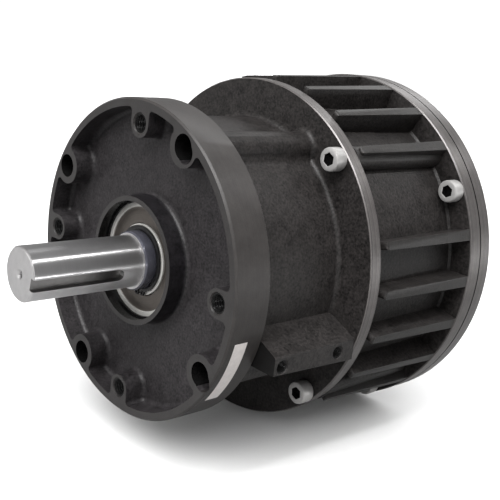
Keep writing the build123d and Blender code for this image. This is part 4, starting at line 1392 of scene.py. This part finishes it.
@dataclass
class InnerPieces:
    """The CAD nodes, which keep their shape and get their finish."""

    coats: dict[Slot, Coat] = field(default_factory=lambda: {
        Slot.BLACK_CASTING: Coat.CAST_BLACK, Slot.BLACK_MACHINED: Coat.TURNED_BLACK,
        Slot.GROUND_STEEL: Coat.GROUND_STEEL, Slot.BEARING_STEEL: Coat.RACE_STEEL,
        Slot.SHIELD_STEEL: Coat.SHIELD_STEEL, Slot.SPRING_STEEL: Coat.SPRING_STEEL,
        Slot.PLAIN_STEEL: Coat.PLAIN_STEEL, Slot.SCREW_STEEL: Coat.ZINC_SCREW,
        Slot.LIGHT_ALLOY: Coat.LIGHT_ALLOY, Slot.FRICTION_LINING: Coat.FRICTION_LINING,
        Slot.SEAL_RUBBER: Coat.SEAL_RUBBER})

    def build(self, bench: Bench) -> None:
        """Gives every CAD node its finish by its material slot.

        Args:
            bench: the work bench.
        """
        for row in frame["record"]["subparts"]:
            obj = frame["nodes"][row["node"]]
            coat = self.coats[Slot(row["material_slot"])]
            if not obj.material_slots:
                obj.data.materials.append(None)
            for slot in obj.material_slots:
                slot.material = bench.paints.get(coat)


# The studio


@dataclass(frozen=True)
class Lamp:
    """One soft rectangular light, aimed at the clutch."""

    name: str
    place: tuple[float, float, float]
    width: float
    height: float
    power: float
    only_shines: bool = False

    def hang(self) -> None:
        """Hangs the light, with its width along the shaft's axis as nearly as it can be."""
        light = bpy.data.lights.new(self.name, "AREA")
        light.shape = "RECTANGLE"
        light.size = self.width
        light.size_y = self.height
        light.energy = self.power
        lamp = bpy.data.objects.new(self.name, light)
        away = (Vector(self.place) - Vector((0, 0.1, 0))).normalized()
        along = (Vector((0, 1, 0)) - away * away.y).normalized()
        matrix = Matrix((along, away.cross(along), away)).transposed().to_4x4()
        matrix.translation = Vector(self.place)
        lamp.matrix_world = matrix
        lamp.visible_camera = False
        lamp.visible_diffuse = not self.only_shines
        bpy.context.scene.collection.objects.link(lamp)


@dataclass(frozen=True)
class Sun:
    """One broad light from above, on everything or on the named objects alone."""

    name: str
    power: float
    width: float
    lit: tuple[str, ...] = ()
    lights: bool = True
    shines: bool = True
    shadows: bool = True

    def hang(self, source: Vector) -> None:
        """Hangs the light.

        Args:
            source: the way to the light.
        """
        light = bpy.data.lights.new(self.name, "SUN")
        light.energy = self.power
        light.angle = math.radians(self.width)
        light.use_shadow = self.shadows
        lamp = bpy.data.objects.new(self.name, light)
        lamp.rotation_euler = source.to_track_quat("Z", "Y").to_euler()
        lamp.visible_diffuse = self.lights
        lamp.visible_glossy = self.shines
        bpy.context.scene.collection.objects.link(lamp)
        if self.lit:
            chosen = bpy.data.collections.new(f"{self.name}_lights")
            for label in self.lit:
                chosen.objects.link(bpy.data.objects[label])
            lamp.light_linking.receiver_collection = chosen


@dataclass
class Studio:
    """Floor, lights, air and camera."""

    floor_height: float = -132.2
    floor_size: float = 7.0
    bounce: float = 0.26
    air: float = 0.36
    backdrop: float = 1.1
    sun_from: tuple[float, float, float] = (0.25, -0.55, 0.95)
    suns: tuple[Sun, ...] = (
        Sun("soft_sun", 5.0, 60, shines=False),
        Sun("floor_sun", 2.6, 120, ("studio_floor",), shines=False, shadows=False),
        Sun("sheen_sun", 7.0, 40, ("front_casting", "finned_casting"), lights=False),
    )
    lamps: tuple[Lamp, ...] = (
        Lamp("upper_strip", (0.64, 0.2, 1.24), 4.2, 0.05, 17.0),
        Lamp("low_strip", (0.98, 0.2, -0.10), 4.2, 0.025, 8.0, only_shines=True),
        Lamp("front_box", (-0.5, -1.5, 0.5), 0.9, 0.9, 8.0),
        Lamp("back_box", (-0.75, 1.55, 1.35), 1.4, 0.8, 8.0),
    )
    target: tuple[float, float, float] = (3.90, 107.17, -1.86)
    back: tuple[float, float, float] = (0.6935, -0.6726, 0.2583)
    distance: float = 634.26
    roll: float = 6.77
    lens: float = 60.88
    sensor_width: float = 36.0
    clip_start: float = 0.01

    def build(self, bench: Bench) -> None:
        """Sets the whole scene up.

        Args:
            bench: the work bench.
        """
        self._floor(bench)
        for lamp in self.lamps:
            lamp.hang()
        for sun in self.suns:
            sun.hang(Vector(self.sun_from))
        self._air()
        self._camera()
        bpy.context.scene.view_settings.view_transform = "Standard"

    def _floor(self, bench: Bench) -> None:
        """Makes the pale floor, which gives the clutch less light back than the camera sees.

        Args:
            bench: the work bench.
        """
        bpy.ops.object.select_all(action="DESELECT")
        bpy.ops.mesh.primitive_plane_add(size=self.floor_size, location=(0, 0, self.floor_height * MM))
        floor = bpy.context.object
        bpy.ops.object.transform_apply(location=True, rotation=True, scale=True)
        floor.name = floor.data.name = "studio_floor"
        bench.paint(floor, Coat.STUDIO_FLOOR)
        tree = ShaderTree(bench.paints.get(Coat.STUDIO_FLOOR).node_tree)
        base = tree.tree.nodes["Principled BSDF"].inputs["Base Color"]
        ray = tree.add("ShaderNodeLightPath")
        dim = (self.bounce, self.bounce, self.bounce, 1)
        tree.join(tree.blend(ray.outputs["Is Camera Ray"], dim, base.links[0].from_socket), base)

    def _air(self) -> None:
        """Lights the air: dim for the clutch, white behind it for the camera."""
        world = bpy.data.worlds.new("studio_air")
        world.use_nodes = True
        tree = ShaderTree(world.node_tree)
        sky = world.node_tree.nodes["Background"]
        tree.feed(sky.inputs["Color"], (1, 1, 1, 1))
        ray = tree.add("ShaderNodeLightPath")
        lift = tree.sum_up("MULTIPLY", ray.outputs["Is Camera Ray"], self.backdrop - self.air)
        tree.join(tree.sum_up("ADD", lift, self.air), sky.inputs["Strength"])
        bpy.context.scene.world = world

    def _camera(self) -> None:
        """Puts the camera at the photograph's place."""
        back = Vector(self.back).normalized()
        right = Vector((-back.y, back.x, 0)).normalized()
        up = back.cross(right)
        turn = math.radians(self.roll)
        across = right * math.cos(turn) + up * math.sin(turn)
        upright = up * math.cos(turn) - right * math.sin(turn)
        matrix = Matrix((across, upright, back)).transposed().to_4x4()
        matrix.translation = (Vector(self.target) + back * self.distance) * MM
        data = bpy.data.cameras.new("camera")
        data.lens = self.lens
        data.sensor_width = self.sensor_width
        data.clip_start = self.clip_start
        camera = bpy.data.objects.new("camera", data)
        bpy.context.scene.collection.objects.link(camera)
        camera.matrix_world = matrix
        bpy.context.scene.camera = camera


def main() -> None:
    """Builds the clutch and its studio in order."""
    logging.basicConfig(level=logging.INFO)
    bench = Bench(Paintbox())
    assemblies = (
        InnerPieces(),
        OutputHousing(),
        FinnedHousing(),
        MotorAdapter(),
        Bearing(),
        Shaft(),
        ShaftClip(),
        CapScrews("mid_flange_screws", "housing_screws", 233.6, 45.0, 101.4, 30.0),
        CapScrews("rear_flange_screws", "adapter_screws", 247.8, 30.0, 204.7, 22.0),
        Label(),
        Studio(),
    )
    for assembly in assemblies:
        assembly.build(bench)
        LOG.info("%s built", type(assembly).__name__)


if __name__ == "__main__":
    main()
